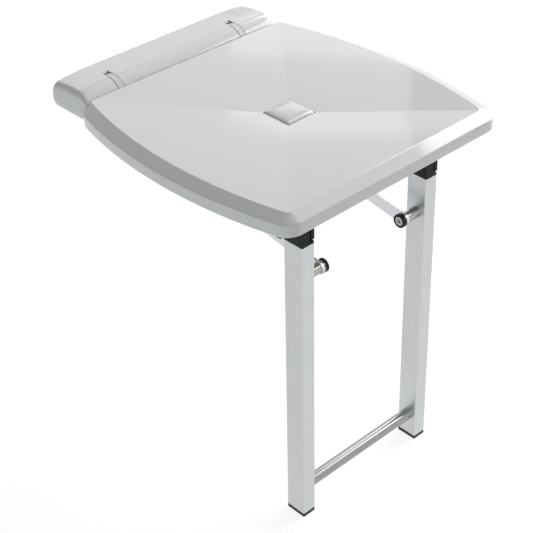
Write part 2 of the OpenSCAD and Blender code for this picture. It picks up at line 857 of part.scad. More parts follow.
module leg_tube(side) {
    color([0.77, 0.78, 0.79]) in_frame() difference() {
        translate([side * leg_mid - leg_width / 2, leg_front_y, foot_height])
            linear_extrude(leg_top - foot_height) difference() {
                round_rectangle([leg_width, leg_depth], leg_edge);
                translate([leg_wall, leg_wall]) square([leg_width - 2 * leg_wall, leg_depth - 2 * leg_wall]);
            }
        rod(side * (leg_face - through), side * (leg_face + leg_wall + through), strut_front,
            strut_pin_diameter / 2 + fitting_gap);
    }
}

module foot(side) {
    color([0.12, 0.12, 0.13]) in_frame() {
        translate([side * leg_mid - leg_width / 2, leg_front_y, 0]) hull() {
            translate([0, 0, foot_chamfer]) linear_extrude(foot_height - foot_chamfer)
                round_rectangle([leg_width, leg_depth], leg_edge, $fn = hull_facets);
            translate([foot_chamfer, foot_chamfer, 0]) linear_extrude(thin)
                square([leg_width - 2 * foot_chamfer, leg_depth - 2 * foot_chamfer]);
        }
        tube_plug(side, foot_height - through, foot_plug + through);
    }
}

module crossbar() {
    color([0.8, 0.81, 0.82]) in_frame()
        ring(-leg_face, leg_face, [strut_front[0], crossbar_height], crossbar_diameter / 2,
            crossbar_diameter / 2 - crossbar_wall);
}

// ---------------------------------------------------------------- struts

module strut_spacer(side) {
    color([0.62, 0.61, 0.57]) in_frame()
        ring(side * spacer_end, side * leg_face, strut_front, spacer_diameter / 2,
            strut_pin_diameter / 2 + fitting_gap);
}

module strut_washer(side) {
    color("gainsboro") in_frame()
        ring(side * cap_back, side * (cap_back + strut_washer_thickness), strut_front,
            cap_diameter / 2 - fitting_gap, strut_pin_diameter / 2 + fitting_gap);
}

module pivot_cap(side) {
    color([0.13, 0.15, 0.17]) in_frame() difference() {
        ring(side * cap_face, side * cap_back, strut_front, cap_diameter / 2,
            strut_pin_diameter / 2 + fitting_gap);
        rod(side * (cap_face - through), side * (cap_face + screw_recess), strut_front,
            screw_head_radius + fitting_gap);
    }
}

module pivot_screw(side) {
    seat_face = cap_face + screw_recess;
    color("silver") in_frame() difference() {
        union() {
            rod(side * seat_face, side * (leg_face + leg_wall + nut_length), strut_front,
                strut_pin_diameter / 2);
            rod(side * (seat_face - screw_head), side * seat_face, strut_front, screw_head_radius);
        }
        translate([side * (seat_face - screw_head / 2), strut_front[0], strut_front[1]])
            rotate([0, 90, 0])
                translate([0, 0, -side * screw_head / 2 - through])
                    cylinder(h = socket_depth + through, r = socket_across / sqrt(3), $fn = 6);
    }
}

module clamp_nut(side) {
    inner = leg_face + leg_wall;
    color("gainsboro") in_frame() difference() {
        translate([side * (inner + nut_length / 2), strut_front[0], strut_front[1]])
            rotate([0, 90, 0]) cylinder(h = nut_length, r = nut_radius, center = true, $fn = 6);
        rod(side * (inner - through), side * (inner + nut_length + through), strut_front,
            strut_pin_diameter / 2 + fitting_gap / 2);
    }
}

// The flat bar that keeps a leg upright. Its front eye is the linkage's open pivot.
module strut(side) {
    color([0.72, 0.73, 0.74]) in_frame()
        slab(side * strut_inner, side * strut_outer)
            translate(strut_front) rotate(strut_angle) difference() {
                union() {
                    translate([0, -strut_height / 2]) square([strut_length, strut_height]);
                    for (x = [0, strut_length]) translate([x, 0]) circle(strut_eye_radius);
                }
                circle(strut_pin_diameter / 2 + strut_eye_gap);
                translate([strut_length, 0]) circle(eye_bush_radius + fitting_gap);
            }
}

module strut_rear_bush(side) {
    color("dimgray") in_frame()
        ring(side * strut_inner, side * strut_outer, strut_rear, eye_bush_radius,
            strut_pin_diameter / 2 + running_gap);
}

// ---------------------------------------------------------------- nodes

wall_bracket(LEFT);  // wall_bracket_left
wall_bracket(RIGHT);  // wall_bracket_right
bracket_cover();
cover_screws();
seat_hinge_pin(LEFT);  // seat_hinge_pin_left
seat_hinge_pin(RIGHT);  // seat_hinge_pin_right
seat_hinge_clips();
strut_wall_pin(LEFT);  // strut_wall_pin_left
strut_wall_pin(RIGHT);  // strut_wall_pin_right
strut_wall_clips();
seat_shell();
drain_plug();
seat_rail(LEFT);  // seat_rail_left
seat_rail(RIGHT);  // seat_rail_right
hinge_bush(LEFT);  // hinge_bush_left
hinge_bush(RIGHT);  // hinge_bush_right
rail_screws();
leg_bracket(LEFT);  // leg_bracket_left
leg_bracket(RIGHT);  // leg_bracket_right
leg_bracket_bolts();
leg_tube(LEFT);  // leg_tube_left
leg_tube(RIGHT);  // leg_tube_right
foot(LEFT);  // foot_left
foot(RIGHT);  // foot_right
leg_knuckle(LEFT);  // leg_knuckle_left
leg_knuckle(RIGHT);  // leg_knuckle_right
leg_pin(LEFT);  // leg_pin_left
leg_pin(RIGHT);  // leg_pin_right
knuckle_washer(LEFT);  // knuckle_washer_left
knuckle_washer(RIGHT);  // knuckle_washer_right
crossbar();
strut_spacer(LEFT);  // strut_spacer_left
strut_spacer(RIGHT);  // strut_spacer_right
strut_washer(LEFT);  // strut_washer_left
strut_washer(RIGHT);  // strut_washer_right
pivot_cap(LEFT);  // pivot_cap_left
pivot_cap(RIGHT);  // pivot_cap_right
pivot_screw(LEFT);  // pivot_screw_left
pivot_screw(RIGHT);  // pivot_screw_right
clamp_nut(LEFT);  // clamp_nut_left
clamp_nut(RIGHT);  // clamp_nut_right
strut(LEFT);  // strut_left
strut(RIGHT);  // strut_right
strut_rear_bush(LEFT);  // strut_rear_bush_left
strut_rear_bush(RIGHT);  // strut_rear_bush_right
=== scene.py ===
"""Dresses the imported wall-hung folding shower seat: mouldings, metalwork, finishes, studio and camera.

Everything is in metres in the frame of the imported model: X along the wall, +Y into the wall, +Z up,
with the origin in the middle of the four inner wall screws. Angles are in degrees where a field holds
them and in radians where they are worked with.
"""

from __future__ import annotations

import json
import logging
import math
from dataclasses import dataclass, field
from enum import Enum
from typing import Iterable, Sequence, Union

import bmesh
import bpy
from bmesh.types import BMEdge, BMesh, BMVert
from bpy.types import ID, Material, Node, NodeSocket, NodeTree, Object
from mathutils import Matrix, Vector

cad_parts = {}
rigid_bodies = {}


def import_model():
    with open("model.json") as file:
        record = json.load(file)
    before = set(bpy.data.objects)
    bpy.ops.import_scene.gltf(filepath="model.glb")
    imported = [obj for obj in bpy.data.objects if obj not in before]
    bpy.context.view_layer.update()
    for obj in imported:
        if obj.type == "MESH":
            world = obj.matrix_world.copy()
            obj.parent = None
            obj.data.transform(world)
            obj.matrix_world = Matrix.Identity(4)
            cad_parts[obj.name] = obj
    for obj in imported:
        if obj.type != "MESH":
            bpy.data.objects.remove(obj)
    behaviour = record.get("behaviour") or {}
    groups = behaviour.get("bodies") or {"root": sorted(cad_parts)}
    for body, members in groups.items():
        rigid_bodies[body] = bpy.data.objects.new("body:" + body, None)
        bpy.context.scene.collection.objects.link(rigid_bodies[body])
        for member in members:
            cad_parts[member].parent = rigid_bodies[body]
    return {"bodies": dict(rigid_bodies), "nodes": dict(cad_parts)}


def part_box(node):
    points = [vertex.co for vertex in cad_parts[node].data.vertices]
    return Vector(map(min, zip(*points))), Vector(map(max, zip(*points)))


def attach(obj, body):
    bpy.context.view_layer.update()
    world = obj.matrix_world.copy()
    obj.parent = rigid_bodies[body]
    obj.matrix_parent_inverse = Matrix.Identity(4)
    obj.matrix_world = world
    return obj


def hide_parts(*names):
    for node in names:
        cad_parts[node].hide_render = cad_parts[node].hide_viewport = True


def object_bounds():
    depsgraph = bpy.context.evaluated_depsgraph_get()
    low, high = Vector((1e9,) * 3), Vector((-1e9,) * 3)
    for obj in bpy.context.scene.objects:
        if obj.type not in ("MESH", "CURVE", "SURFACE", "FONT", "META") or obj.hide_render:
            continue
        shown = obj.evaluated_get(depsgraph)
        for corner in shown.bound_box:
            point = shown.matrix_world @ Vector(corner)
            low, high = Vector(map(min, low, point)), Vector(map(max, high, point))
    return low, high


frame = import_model()
cad_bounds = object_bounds()

LOG = logging.getLogger("shower_seat")
MM = 0.001
MICRON = 0.000001
WELD = 1e-6  # vertices nearer than this are one
LEVEL = 1e-7  # a vertex nearer than this to a height is at it
QUARTER = math.pi / 2
ALONG_WALL = Vector((1, 0, 0))
UP = Vector((0, 0, 1))
WHITE = (1.0, 1.0, 1.0, 1.0)
Pair = tuple[float, float]
Colour = tuple[float, float, float]
Chain = list[Union[BMVert, BMEdge]]
Given = Union[NodeSocket, float, tuple[float, ...]]


class Side(Enum):
    """The two sides of the seat, by the sign of X."""

    LEFT = -1
    RIGHT = 1

    @property
    def word(self) -> str:
        """The side's word in the names of nodes."""
        return self.name.lower()


class Body(Enum):
    """Bodies of the frame that the new pieces ride on."""

    WALL = "wall_mount"
    SEAT = "seat"


# ---------------------------------------------------------------- node helpers


@dataclass
class NodeBoard:
    """Short-hand for placing and wiring shader nodes in one tree.

    Attributes:
        tree: The node tree that is being filled.
    """

    tree: NodeTree

    def add(self, kind: str, **settings: object) -> Node:
        """Adds a node and sets its properties.

        Args:
            kind: Blender's type name of the node.
            **settings: Properties of the node, by name.

        Returns:
            The new node.
        """
        node = self.tree.nodes.new(kind)
        for name, value in settings.items():
            setattr(node, name, value)
        return node

    def give(self, socket: NodeSocket, value: Given) -> None:
        """Wires an output to an input, or sets the input to a constant.

        Args:
            socket: The input.
            value: The output or the constant.
        """
        if isinstance(value, NodeSocket):
            self.tree.links.new(value, socket)
        else:
            socket.default_value = value

    def feed(self, node: Node, **values: Given) -> Node:
        """Gives a node its inputs, named with underscores for spaces.

        Args:
            node: The node whose inputs are given.
            **values: An output to wire or a constant to set, for each input.

        Returns:
            The node.
        """
        for name, value in values.items():
            self.give(node.inputs[name.replace("_", " ")], value)
        return node

    def maths(self, operation: str, first: Given, second: Given) -> NodeSocket:
        """Adds a Math node.

        Args:
            operation: Blender's name of the operation.
            first: An output or a number.
            second: An output or a number.

        Returns:
            The node's output.
        """
        node = self.add("ShaderNodeMath", operation=operation)
        for socket, value in zip(node.inputs, (first, second)):
            self.give(socket, value)
        return node.outputs["Value"]

    def spread(self, value: NodeSocket, **ends: float) -> NodeSocket:
        """Maps a value from From_Min..From_Max to To_Min..To_Max, each 0..1 where it isn't given."""
        node = self.add("ShaderNodeMapRange", clamp=True)
        return self.feed(node, Value=value, **ends).outputs["Result"]

    def noise(self, place: NodeSocket, **values: Given) -> NodeSocket:
        """Adds a noise at a place, with its Scale, Detail and Roughness, and returns its value."""
        node = self.add("ShaderNodeTexNoise", noise_dimensions="3D")
        return self.feed(node, Vector=place, **values).outputs["Fac"]

    def apply(self, effect: SurfaceEffect, **values: Given) -> bpy.types.NodeOutputs:
        """Places an effect's shared group with its inputs, and returns its outputs."""
        return self.feed(self.add("ShaderNodeGroup", node_tree=effect.group), **values).outputs


class SocketKind(Enum):
    """Kinds of socket on a shared group."""

    VECTOR = "NodeSocketVector"
    FLOAT = "NodeSocketFloat"
    COLOUR = "NodeSocketColor"


class SurfaceEffect:
    """Base of the shared shader groups: makes the group's tree and its sockets.

    Attributes:
        name: Name of the group.
        takes: Its inputs beside Vector, with their defaults.
        gives: Its outputs.
    """

    name: str
    takes: dict[str, Given]
    gives: dict[str, SocketKind]

    def __init__(self) -> None:
        """Builds the node group."""
        self.group = bpy.data.node_groups.new(self.name, "ShaderNodeTree")
        add = self.group.interface.new_socket
        add("Vector", in_out="INPUT", socket_type=SocketKind.VECTOR.value)
        for label, default in self.takes.items():
            kind = SocketKind.FLOAT if isinstance(default, float) else SocketKind.COLOUR
            add(label, in_out="INPUT", socket_type=kind.value).default_value = default
        for label, kind in self.gives.items():
            add(label, in_out="OUTPUT", socket_type=kind.value)
        self.board = NodeBoard(self.group)
        self.given = self.board.add("NodeGroupInput").outputs
        self.result = self.board.add("NodeGroupOutput").inputs
        self.wire_up()

    def wire_up(self) -> None:
        """Fills the group. Each effect has its own."""
        raise NotImplementedError


class BrushLines(SurfaceEffect):
    """Long fine lines left by brushing or drawing, along the last axis of the given vector."""

    name = "brush_lines"
    takes = {"Fineness": 900.0, "Length": 0.02}
    gives = {"Height": SocketKind.FLOAT, "Tone": SocketKind.FLOAT}

    def wire_up(self) -> None:
        """Stretches two noises along the lines and joins them."""
        board, given = self.board, self.given
        axes = board.feed(board.add("ShaderNodeSeparateXYZ"), Vector=given["Vector"]).outputs
        along = board.maths("MULTIPLY", axes["Z"], given["Length"])
        stretched = board.feed(board.add("ShaderNodeCombineXYZ"), X=axes["X"], Y=axes["Y"], Z=along)
        place = stretched.outputs["Vector"]
        fine = board.noise(place, Scale=given["Fineness"], Detail=3.0, Roughness=0.6)
        coarseness = board.maths("MULTIPLY", given["Fineness"], 0.22)
        coarse = board.noise(place, Scale=coarseness, Detail=2.0, Roughness=0.5)
        both = board.maths("ADD", fine, coarse)
        board.give(self.result["Height"], fine)
        board.give(self.result["Tone"], board.maths("MULTIPLY", both, 0.5))


class MouldedSkin(SurfaceEffect):
    """Skin of a moulding: a slow waviness with a fine grain on it."""

    name = "moulded_skin"
    takes = {"Wave Scale": 18.0, "Grain Scale": 1400.0, "Grain Share": 0.2}
    gives = {"Height": SocketKind.FLOAT}

    def wire_up(self) -> None:
        """Adds a share of fine grain to a slow wave."""
        board, given = self.board, self.given
        wave = board.noise(given["Vector"], Scale=given["Wave Scale"], Detail=1.0, Roughness=0.4)
        grain = board.noise(given["Vector"], Scale=given["Grain Scale"], Detail=2.0, Roughness=0.6)
        fine = board.maths("MULTIPLY", grain, given["Grain Share"])
        board.give(self.result["Height"], board.maths("ADD", wave, fine))


class HandlingMarks(SurfaceEffect):
    """Faint cloudy marks of handling and cleaning: a mask, and a colour mixed by it."""

    name = "handling_marks"
    takes = {"Scale": 14.0, "Amount": 0.5, "Clean": (0.8, 0.8, 0.8, 1.0), "Marked": (0.7, 0.7, 0.7, 1.0)}
    gives = {"Color": SocketKind.COLOUR, "Mask": SocketKind.FLOAT}

    def wire_up(self) -> None:
        """Narrows a cloudy noise to a mask and mixes the two colours by it."""
        board, given = self.board, self.given
        cloud = board.noise(given["Vector"], Scale=given["Scale"], Detail=5.0, Roughness=0.6)
        narrow = board.spread(cloud, From_Min=0.42, From_Max=0.68)
        mask = board.maths("MULTIPLY", narrow, given["Amount"])
        mix = board.add("ShaderNodeMix", data_type="RGBA")
        ends = {socket.identifier: socket for socket in (*mix.inputs, *mix.outputs)}
        board.give(ends["Factor_Float"], mask)
        board.give(ends["A_Color"], given["Clean"])
        board.give(ends["B_Color"], given["Marked"])
        board.give(self.result["Color"], ends["Result_Color"])
        board.give(self.result["Mask"], mask)


@dataclass
class EffectSet:
    """The shared groups, built once for all the finishes.

    Attributes:
        brush: Brushing or drawing lines.
        skin: The skin of a moulding.
        marks: Marks of handling.
    """

    brush: BrushLines = field(default_factory=BrushLines)
    skin: MouldedSkin = field(default_factory=MouldedSkin)
    marks: HandlingMarks = field(default_factory=HandlingMarks)


# ---------------------------------------------------------------- finishes


class Grain(Enum):
    """Direction in which a metal was drawn or brushed, as a turn of its pattern in degrees."""

    UPRIGHT = (0.0, 0.0, 0.0)
    ALONG_X = (0.0, 90.0, 0.0)
    ALONG_Y = (90.0, 0.0, 0.0)


@dataclass(frozen=True)
class Ground:
    """What a finish builds its surface on.

    Attributes:
        board: The material's board.
        effects: The shared groups.
        place: Coordinates to read.
        mask: Mask of the marks.
    """

    board: NodeBoard
    effects: EffectSet
    place: NodeSocket
    mask: NodeSocket


@dataclass(frozen=True)
class Finish:
    """A finish of one kind of part.

    Attributes:
        name: Name of the material.
        clean: Base colour, linear.
        marked: Colour where the surface is marked, linear.
        roughness: Roughness of the smoothest and of the roughest places.
        relief: Height of the surface's relief.
        mark_scale: Scale of the marks.
        mark_amount: Strength of the marks, 0 to 1.
    """

    name: str
    clean: Colour
    marked: Colour
    roughness: Pair
    relief: float
    mark_scale: float = 20.0
    mark_amount: float = 0.4

    def make(self, effects: EffectSet) -> Material:
        """Builds the material from the marks and the surface of its kind.

        Args:
            effects: The shared groups.

        Returns:
            The material.
        """
        material = bpy.data.materials.new(self.name)
        material.use_nodes = True
        board = NodeBoard(material.node_tree)
        shader = next(n for n in material.node_tree.nodes if n.type == "BSDF_PRINCIPLED")
        place = board.add("ShaderNodeTexCoord").outputs["Object"]
        marks = board.apply(
            effects.marks,
            Vector=place,
            Scale=self.mark_scale,
            Amount=self.mark_amount,
            Clean=(*self.clean, 1.0),
            Marked=(*self.marked, 1.0),
        )
        tone, height = self.surface(Ground(board, effects, place, marks["Mask"]))
        smooth, rough = self.roughness
        bump = board.feed(board.add("ShaderNodeBump"), Strength=1.0, Distance=self.relief, Height=height)
        board.feed(
            shader,
            Base_Color=marks["Color"],
            Roughness=board.spread(tone, To_Min=smooth, To_Max=rough),
            Normal=bump.outputs["Normal"],
            **self.constants(),
        )
        return material

    def surface(self, ground: Ground) -> tuple[NodeSocket, NodeSocket]:
        """Builds the tone that the roughness follows, and the relief's height, as each kind has them."""
        raise NotImplementedError

    def constants(self) -> dict[str, float]:
        """The shader's inputs that are the same all over. Each kind of finish has its own."""
        raise NotImplementedError


@dataclass(frozen=True)
class GrainedPlastic(Finish):
    """Plastic, rubber or powder coat with an even grain.

    Attributes:
        wave_scale: Scale of the skin's slow wave.
        grain_scale: Scale of its grain.
        grain_share: Height of the grain as a share of the wave's.
        specular: Specular level.
    """

    mark_scale: float = 30.0
    wave_scale: float = 60.0
    grain_scale: float = 1800.0
    grain_share: float = 0.8
    specular: float = 0.5

    def surface(self, ground: Ground) -> tuple[NodeSocket, NodeSocket]:
        """Takes the tone from the marks and the relief from the moulded skin.

        Args:
            ground: What the surface is built on.

        Returns:
            The marks' mask and the skin's height.
        """
        skin = ground.board.apply(
            ground.effects.skin,
            Vector=ground.place,
            Wave_Scale=self.wave_scale,
            Grain_Scale=self.grain_scale,
            Grain_Share=self.grain_share,
        )
        return ground.mask, skin["Height"]

    def constants(self) -> dict[str, float]:
        """The specular level."""
        return {"Specular_IOR_Level": self.specular}


@dataclass(frozen=True)
class GlossMoulding(GrainedPlastic):
    """Glossy moulded plastic with a clear, hard skin.

    Attributes:
        ior: Refractive index of the plastic and its skin.
        coat: Weight of the clear skin.
        coat_roughness: Roughness of the clear skin.
    """

    mark_scale: float = 9.0
    wave_scale: float = 14.0
    grain_scale: float = 1600.0
    grain_share: float = 0.08
    ior: float = 1.5
    coat: float = 0.5
    coat_roughness: float = 0.06

    def constants(self) -> dict[str, float]:
        """The refractive index and the clear skin."""
        coat = {"Coat_Weight": self.coat, "Coat_Roughness": self.coat_roughness, "Coat_IOR": self.ior}
        return {"IOR": self.ior, **coat}


@dataclass(frozen=True)
class DrawnMetal(Finish):
    """Metal with drawing or brushing lines, satin or polished.

    Attributes:
        grain: Direction of the lines.
        fineness: Scale across the lines.
        line_length: Scale along the lines as a share of that across them.
        mark_share: How much the marks roughen the metal.
    """

    mark_scale: float = 22.0
    grain: Grain = Grain.UPRIGHT
    fineness: float = 900.0
    line_length: float = 0.02
    mark_share: float = 0.35

    def surface(self, ground: Ground) -> tuple[NodeSocket, NodeSocket]:
        """Takes the tone from the lines and the marks, and the relief from the lines.

        Args:
            ground: What the surface is built on.

        Returns:
            The lines' tone with the marks on it, and the lines' height.
        """
        board = ground.board
        angles = tuple(math.radians(angle) for angle in self.grain.value)
        turned = board.feed(board.add("ShaderNodeMapping"), Vector=ground.place, Rotation=angles)
        lines = board.apply(
            ground.effects.brush,
            Vector=turned.outputs["Vector"],
            Fineness=self.fineness,
            Length=self.line_length,
        )
        marks = board.maths("MULTIPLY", ground.mask, self.mark_share)
        return board.maths("ADD", lines["Tone"], marks), lines["Height"]

    def constants(self) -> dict[str, float]:
        """Full metal."""
        return {"Metallic": 1.0}


class Palette:
    """All the finishes of the seat, made once."""

    def __init__(self) -> None:
        """Builds the shared groups and the materials."""
        effects = EffectSet()
        pale, dusty = (0.66, 0.68, 0.65), (0.63, 0.65, 0.62)
        self.seat = GlossMoulding("seat_gloss", pale, dusty, (0.06, 0.10), 10 * MICRON).make(effects)
        self.cover = GlossMoulding("cover_gloss", pale, dusty, (0.13, 0.20), 12 * MICRON).make(effects)
        self.plug = GlossMoulding(
            "plug_gloss", pale, (0.62, 0.63, 0.60), (0.12, 0.18), 8 * MICRON
        ).make(effects)
        self.rail = GrainedPlastic(
            "rail_powder_coat", (0.67, 0.69, 0.66), (0.64, 0.66, 0.63), (0.24, 0.34), 20 * MICRON
        ).make(effects)
        self.leg = DrawnMetal(
            "leg_anodised", (0.565, 0.578, 0.586), (0.515, 0.528, 0.536), (0.28, 0.46), 6 * MICRON,
            fineness=700.0,
        ).make(effects)
        self.crossbar = DrawnMetal(
            "crossbar_anodised", (0.31, 0.318, 0.322), (0.275, 0.283, 0.287), (0.15, 0.22), 4 * MICRON,
            grain=Grain.ALONG_X,
        ).make(effects)
        self.strut = DrawnMetal(
            "strut_satin", (0.66, 0.67, 0.69), (0.60, 0.61, 0.63), (0.30, 0.48), 6 * MICRON,
            grain=Grain.ALONG_Y,
        ).make(effects)
        self.nickel = DrawnMetal(
            "nickel_polished", (0.40, 0.39, 0.365), (0.31, 0.305, 0.285), (0.16, 0.28), 3 * MICRON,
            grain=Grain.ALONG_X,
        ).make(effects)
        self.bright = DrawnMetal(
            "bright_steel", (0.72, 0.72, 0.72), (0.60, 0.60, 0.60), (0.14, 0.30), 3 * MICRON,
            grain=Grain.ALONG_X,
        ).make(effects)
        self.zinc = DrawnMetal(
            "zinc_plate", (0.55, 0.56, 0.57), (0.46, 0.47, 0.48), (0.30, 0.50), 10 * MICRON
        ).make(effects)
        self.black = GrainedPlastic(
            "black_grained", (0.010, 0.015, 0.019), (0.016, 0.021, 0.025), (0.45, 0.58), 40 * MICRON,
            specular=0.13,
        ).make(effects)
        self.rubber = GrainedPlastic(
            "foot_rubber", (0.016, 0.016, 0.017), (0.03, 0.03, 0.03), (0.55, 0.7), 40 * MICRON,
            specular=0.3,
        ).make(effects)
        self.nylon = GrainedPlastic(
            "bush_nylon", (0.20, 0.20, 0.20), (0.16, 0.16, 0.16), (0.4, 0.5), 30 * MICRON
        ).make(effects)


# ---------------------------------------------------------------- mesh helpers


@dataclass
class Pen:
    """Draws a chain of edges by extruding its last vertex.

    Attributes:
        mesh: The mesh that is drawn in.
        tip: The chain's last vertex.
        edges: The chain's edges so far.
    """

    mesh: BMesh
    tip: BMVert
    edges: list[BMEdge] = field(default_factory=list)

    @classmethod
    def at(cls, mesh: BMesh, place: Vector) -> Pen:
        """Starts a chain at a point."""
        return cls(mesh, bmesh.ops.create_vert(mesh, co=place)["vert"][0])

    def line(self, place: Vector) -> None:
        """Draws a straight edge.

        Args:
            place: Where it ends.
        """
        made = bmesh.ops.extrude_vert_indiv(self.mesh, verts=[self.tip])
        self.tip = made["verts"][0]
        self.tip.co = place
        self.edges += made["edges"]

    def arc(self, centre: Vector, axis: Vector, angle: float, steps: int) -> None:
        """Draws an arc round a centre.

        Args:
            centre: Centre of the arc.
            axis: Axis that the arc turns about.
            angle: Angle of the arc.
            steps: Number of edges.
        """
        known = set(self.mesh.edges)
        made = bmesh.ops.spin(
            self.mesh, geom=[self.tip], cent=centre, axis=axis, angle=angle, steps=steps, use_merge=False
        )
        self.tip = verts_of(made["geom_last"])[0]
        self.edges += [e for e in self.mesh.edges if e not in known]


def verts_of(geom: Iterable[object]) -> list[BMVert]:
    """Picks the vertices out of what an operator made."""
    return [g for g in geom if isinstance(g, BMVert)]


def level_edges(mesh: BMesh, height: float) -> list[BMEdge]:
    """Lists the edges that lie at one height."""
    return [e for e in mesh.edges if all(abs(v.co.z - height) < LEVEL for v in e.verts)]


def sharp_edges(mesh: BMesh, angle: float = 40.0) -> list[BMEdge]:
    """Lists the edges whose faces meet at more than an angle, in degrees."""
    least = math.radians(angle)
    return [e for e in mesh.edges if len(e.link_faces) == 2 and e.calc_face_angle(0.0) > least]


def weld(mesh: BMesh) -> None:
    """Merges the vertices that lie on each other."""
    bmesh.ops.remove_doubles(mesh, verts=mesh.verts, dist=WELD)


def turn_out(mesh: BMesh) -> None:
    """Turns every face outwards."""
    bmesh.ops.recalc_face_normals(mesh, faces=mesh.faces)


def soften(mesh: BMesh, edges: list[BMEdge], width: float, steps: int) -> None:
    """Rounds edges with a bevel.

    Args:
        mesh: The mesh.
        edges: The edges to round.
        width: Width of the bevel.
        steps: Number of segments.
    """
    bmesh.ops.bevel(
        mesh,
        geom=edges,
        offset=width,
        offset_type="OFFSET",
        segments=steps,
        profile=0.5,
        affect="EDGES",
        material=-1,
        clamp_overlap=True,
    )


def add_block(mesh: BMesh, low: Sequence[float], high: Sequence[float]) -> None:
    """Adds a box.

    Args:
        mesh: The mesh to add to.
        low: Its lowest corner.
        high: Its highest corner.
    """
    start, end = Vector(low), Vector(high)
    made = bmesh.ops.create_cube(mesh, size=1.0)["verts"]
    bmesh.ops.scale(mesh, vec=end - start, verts=made)
    bmesh.ops.translate(mesh, vec=(start + end) / 2, verts=made)


def add_post(mesh: BMesh, foot: Vector, top: float, radius: float, facets: int) -> None:
    """Adds an upright round post.

    Args:
        mesh: The mesh to add to.
        foot: Middle of the lower end.
        top: Height of the upper end.
        radius: Radius of the post.
        facets: Number of facets round the post.
    """
    height = top - foot.z
    place = Matrix.Translation(foot + UP * height / 2)
    bmesh.ops.create_cone(
        mesh, cap_ends=True, segments=facets, radius1=radius, radius2=radius, depth=height, matrix=place
    )


@dataclass
class Piece:
    """Turns a finished mesh into an object of the scene.

    Attributes:
        name: Name of the piece.
        body: Body that it rides on.
        slot: Material slot of the record; not used.
        finish: Its material.
    """

    name: str
    body: Body
    slot: str
    finish: Material

    def close(self, mesh: BMesh, replaces: Sequence[str] = ()) -> Object:
        """Writes the mesh to an object and hangs it on its body.

        Args:
            mesh: The finished mesh, which is freed.
            replaces: CAD nodes that the piece stands for.

        Returns:
            The new object.
        """
        weld(mesh)
        turn_out(mesh)
        data = bpy.data.meshes.new(self.name)
        mesh.to_mesh(data)
        mesh.free()
        data.materials.append(self.finish)
        data.shade_smooth()
        piece = put_in_scene(self.name, data)
        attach(piece, self.body.value)
        if replaces:
            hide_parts(*replaces)
        return piece


def put_in_scene(name: str, data: ID) -> Object:
    """Makes an object of data and links it to the scene.

    Args:
        name: Name of the object.
        data: Its mesh, light or camera.

    Returns:
        The object.
    """
    thing = bpy.data.objects.new(name, data)
    bpy.context.scene.collection.objects.link(thing)
    return thing


def thicken(piece: Object, wall: float) -> None:
    """Gives an open skin its wall, inwards.

    Args:
        piece: The object.
        wall: Thickness of the wall.
    """
    shell = piece.modifiers.new("wall", "SOLIDIFY")
    shell.thickness = wall
    shell.offset = -1.0


def even_shading(piece: Object) -> None:
    """Weights the normals by face area, so that flats stay flat beside small roundings."""
    even = piece.modifiers.new("shading", "WEIGHTED_NORMAL")
    even.keep_sharp = True


def round_over(piece: Object, radius: float, steps: int, angle: float = 35.0) -> None:
    """Rounds the sharp edges of a piece with a live bevel and even shading.

    Args:
        piece: The object.
        radius: Radius of the rounding.
        steps: Number of segments.
        angle: Least angle that counts as an edge, in degrees.
    """
    edge = piece.modifiers.new("edges", "BEVEL")
    edge.width = radius
    edge.segments = steps
    edge.profile = 0.5
    edge.limit_method = "ANGLE"
    edge.angle_limit = math.radians(angle)
    edge.harden_normals = False
    even_shading(piece)


# ---------------------------------------------------------------- seat


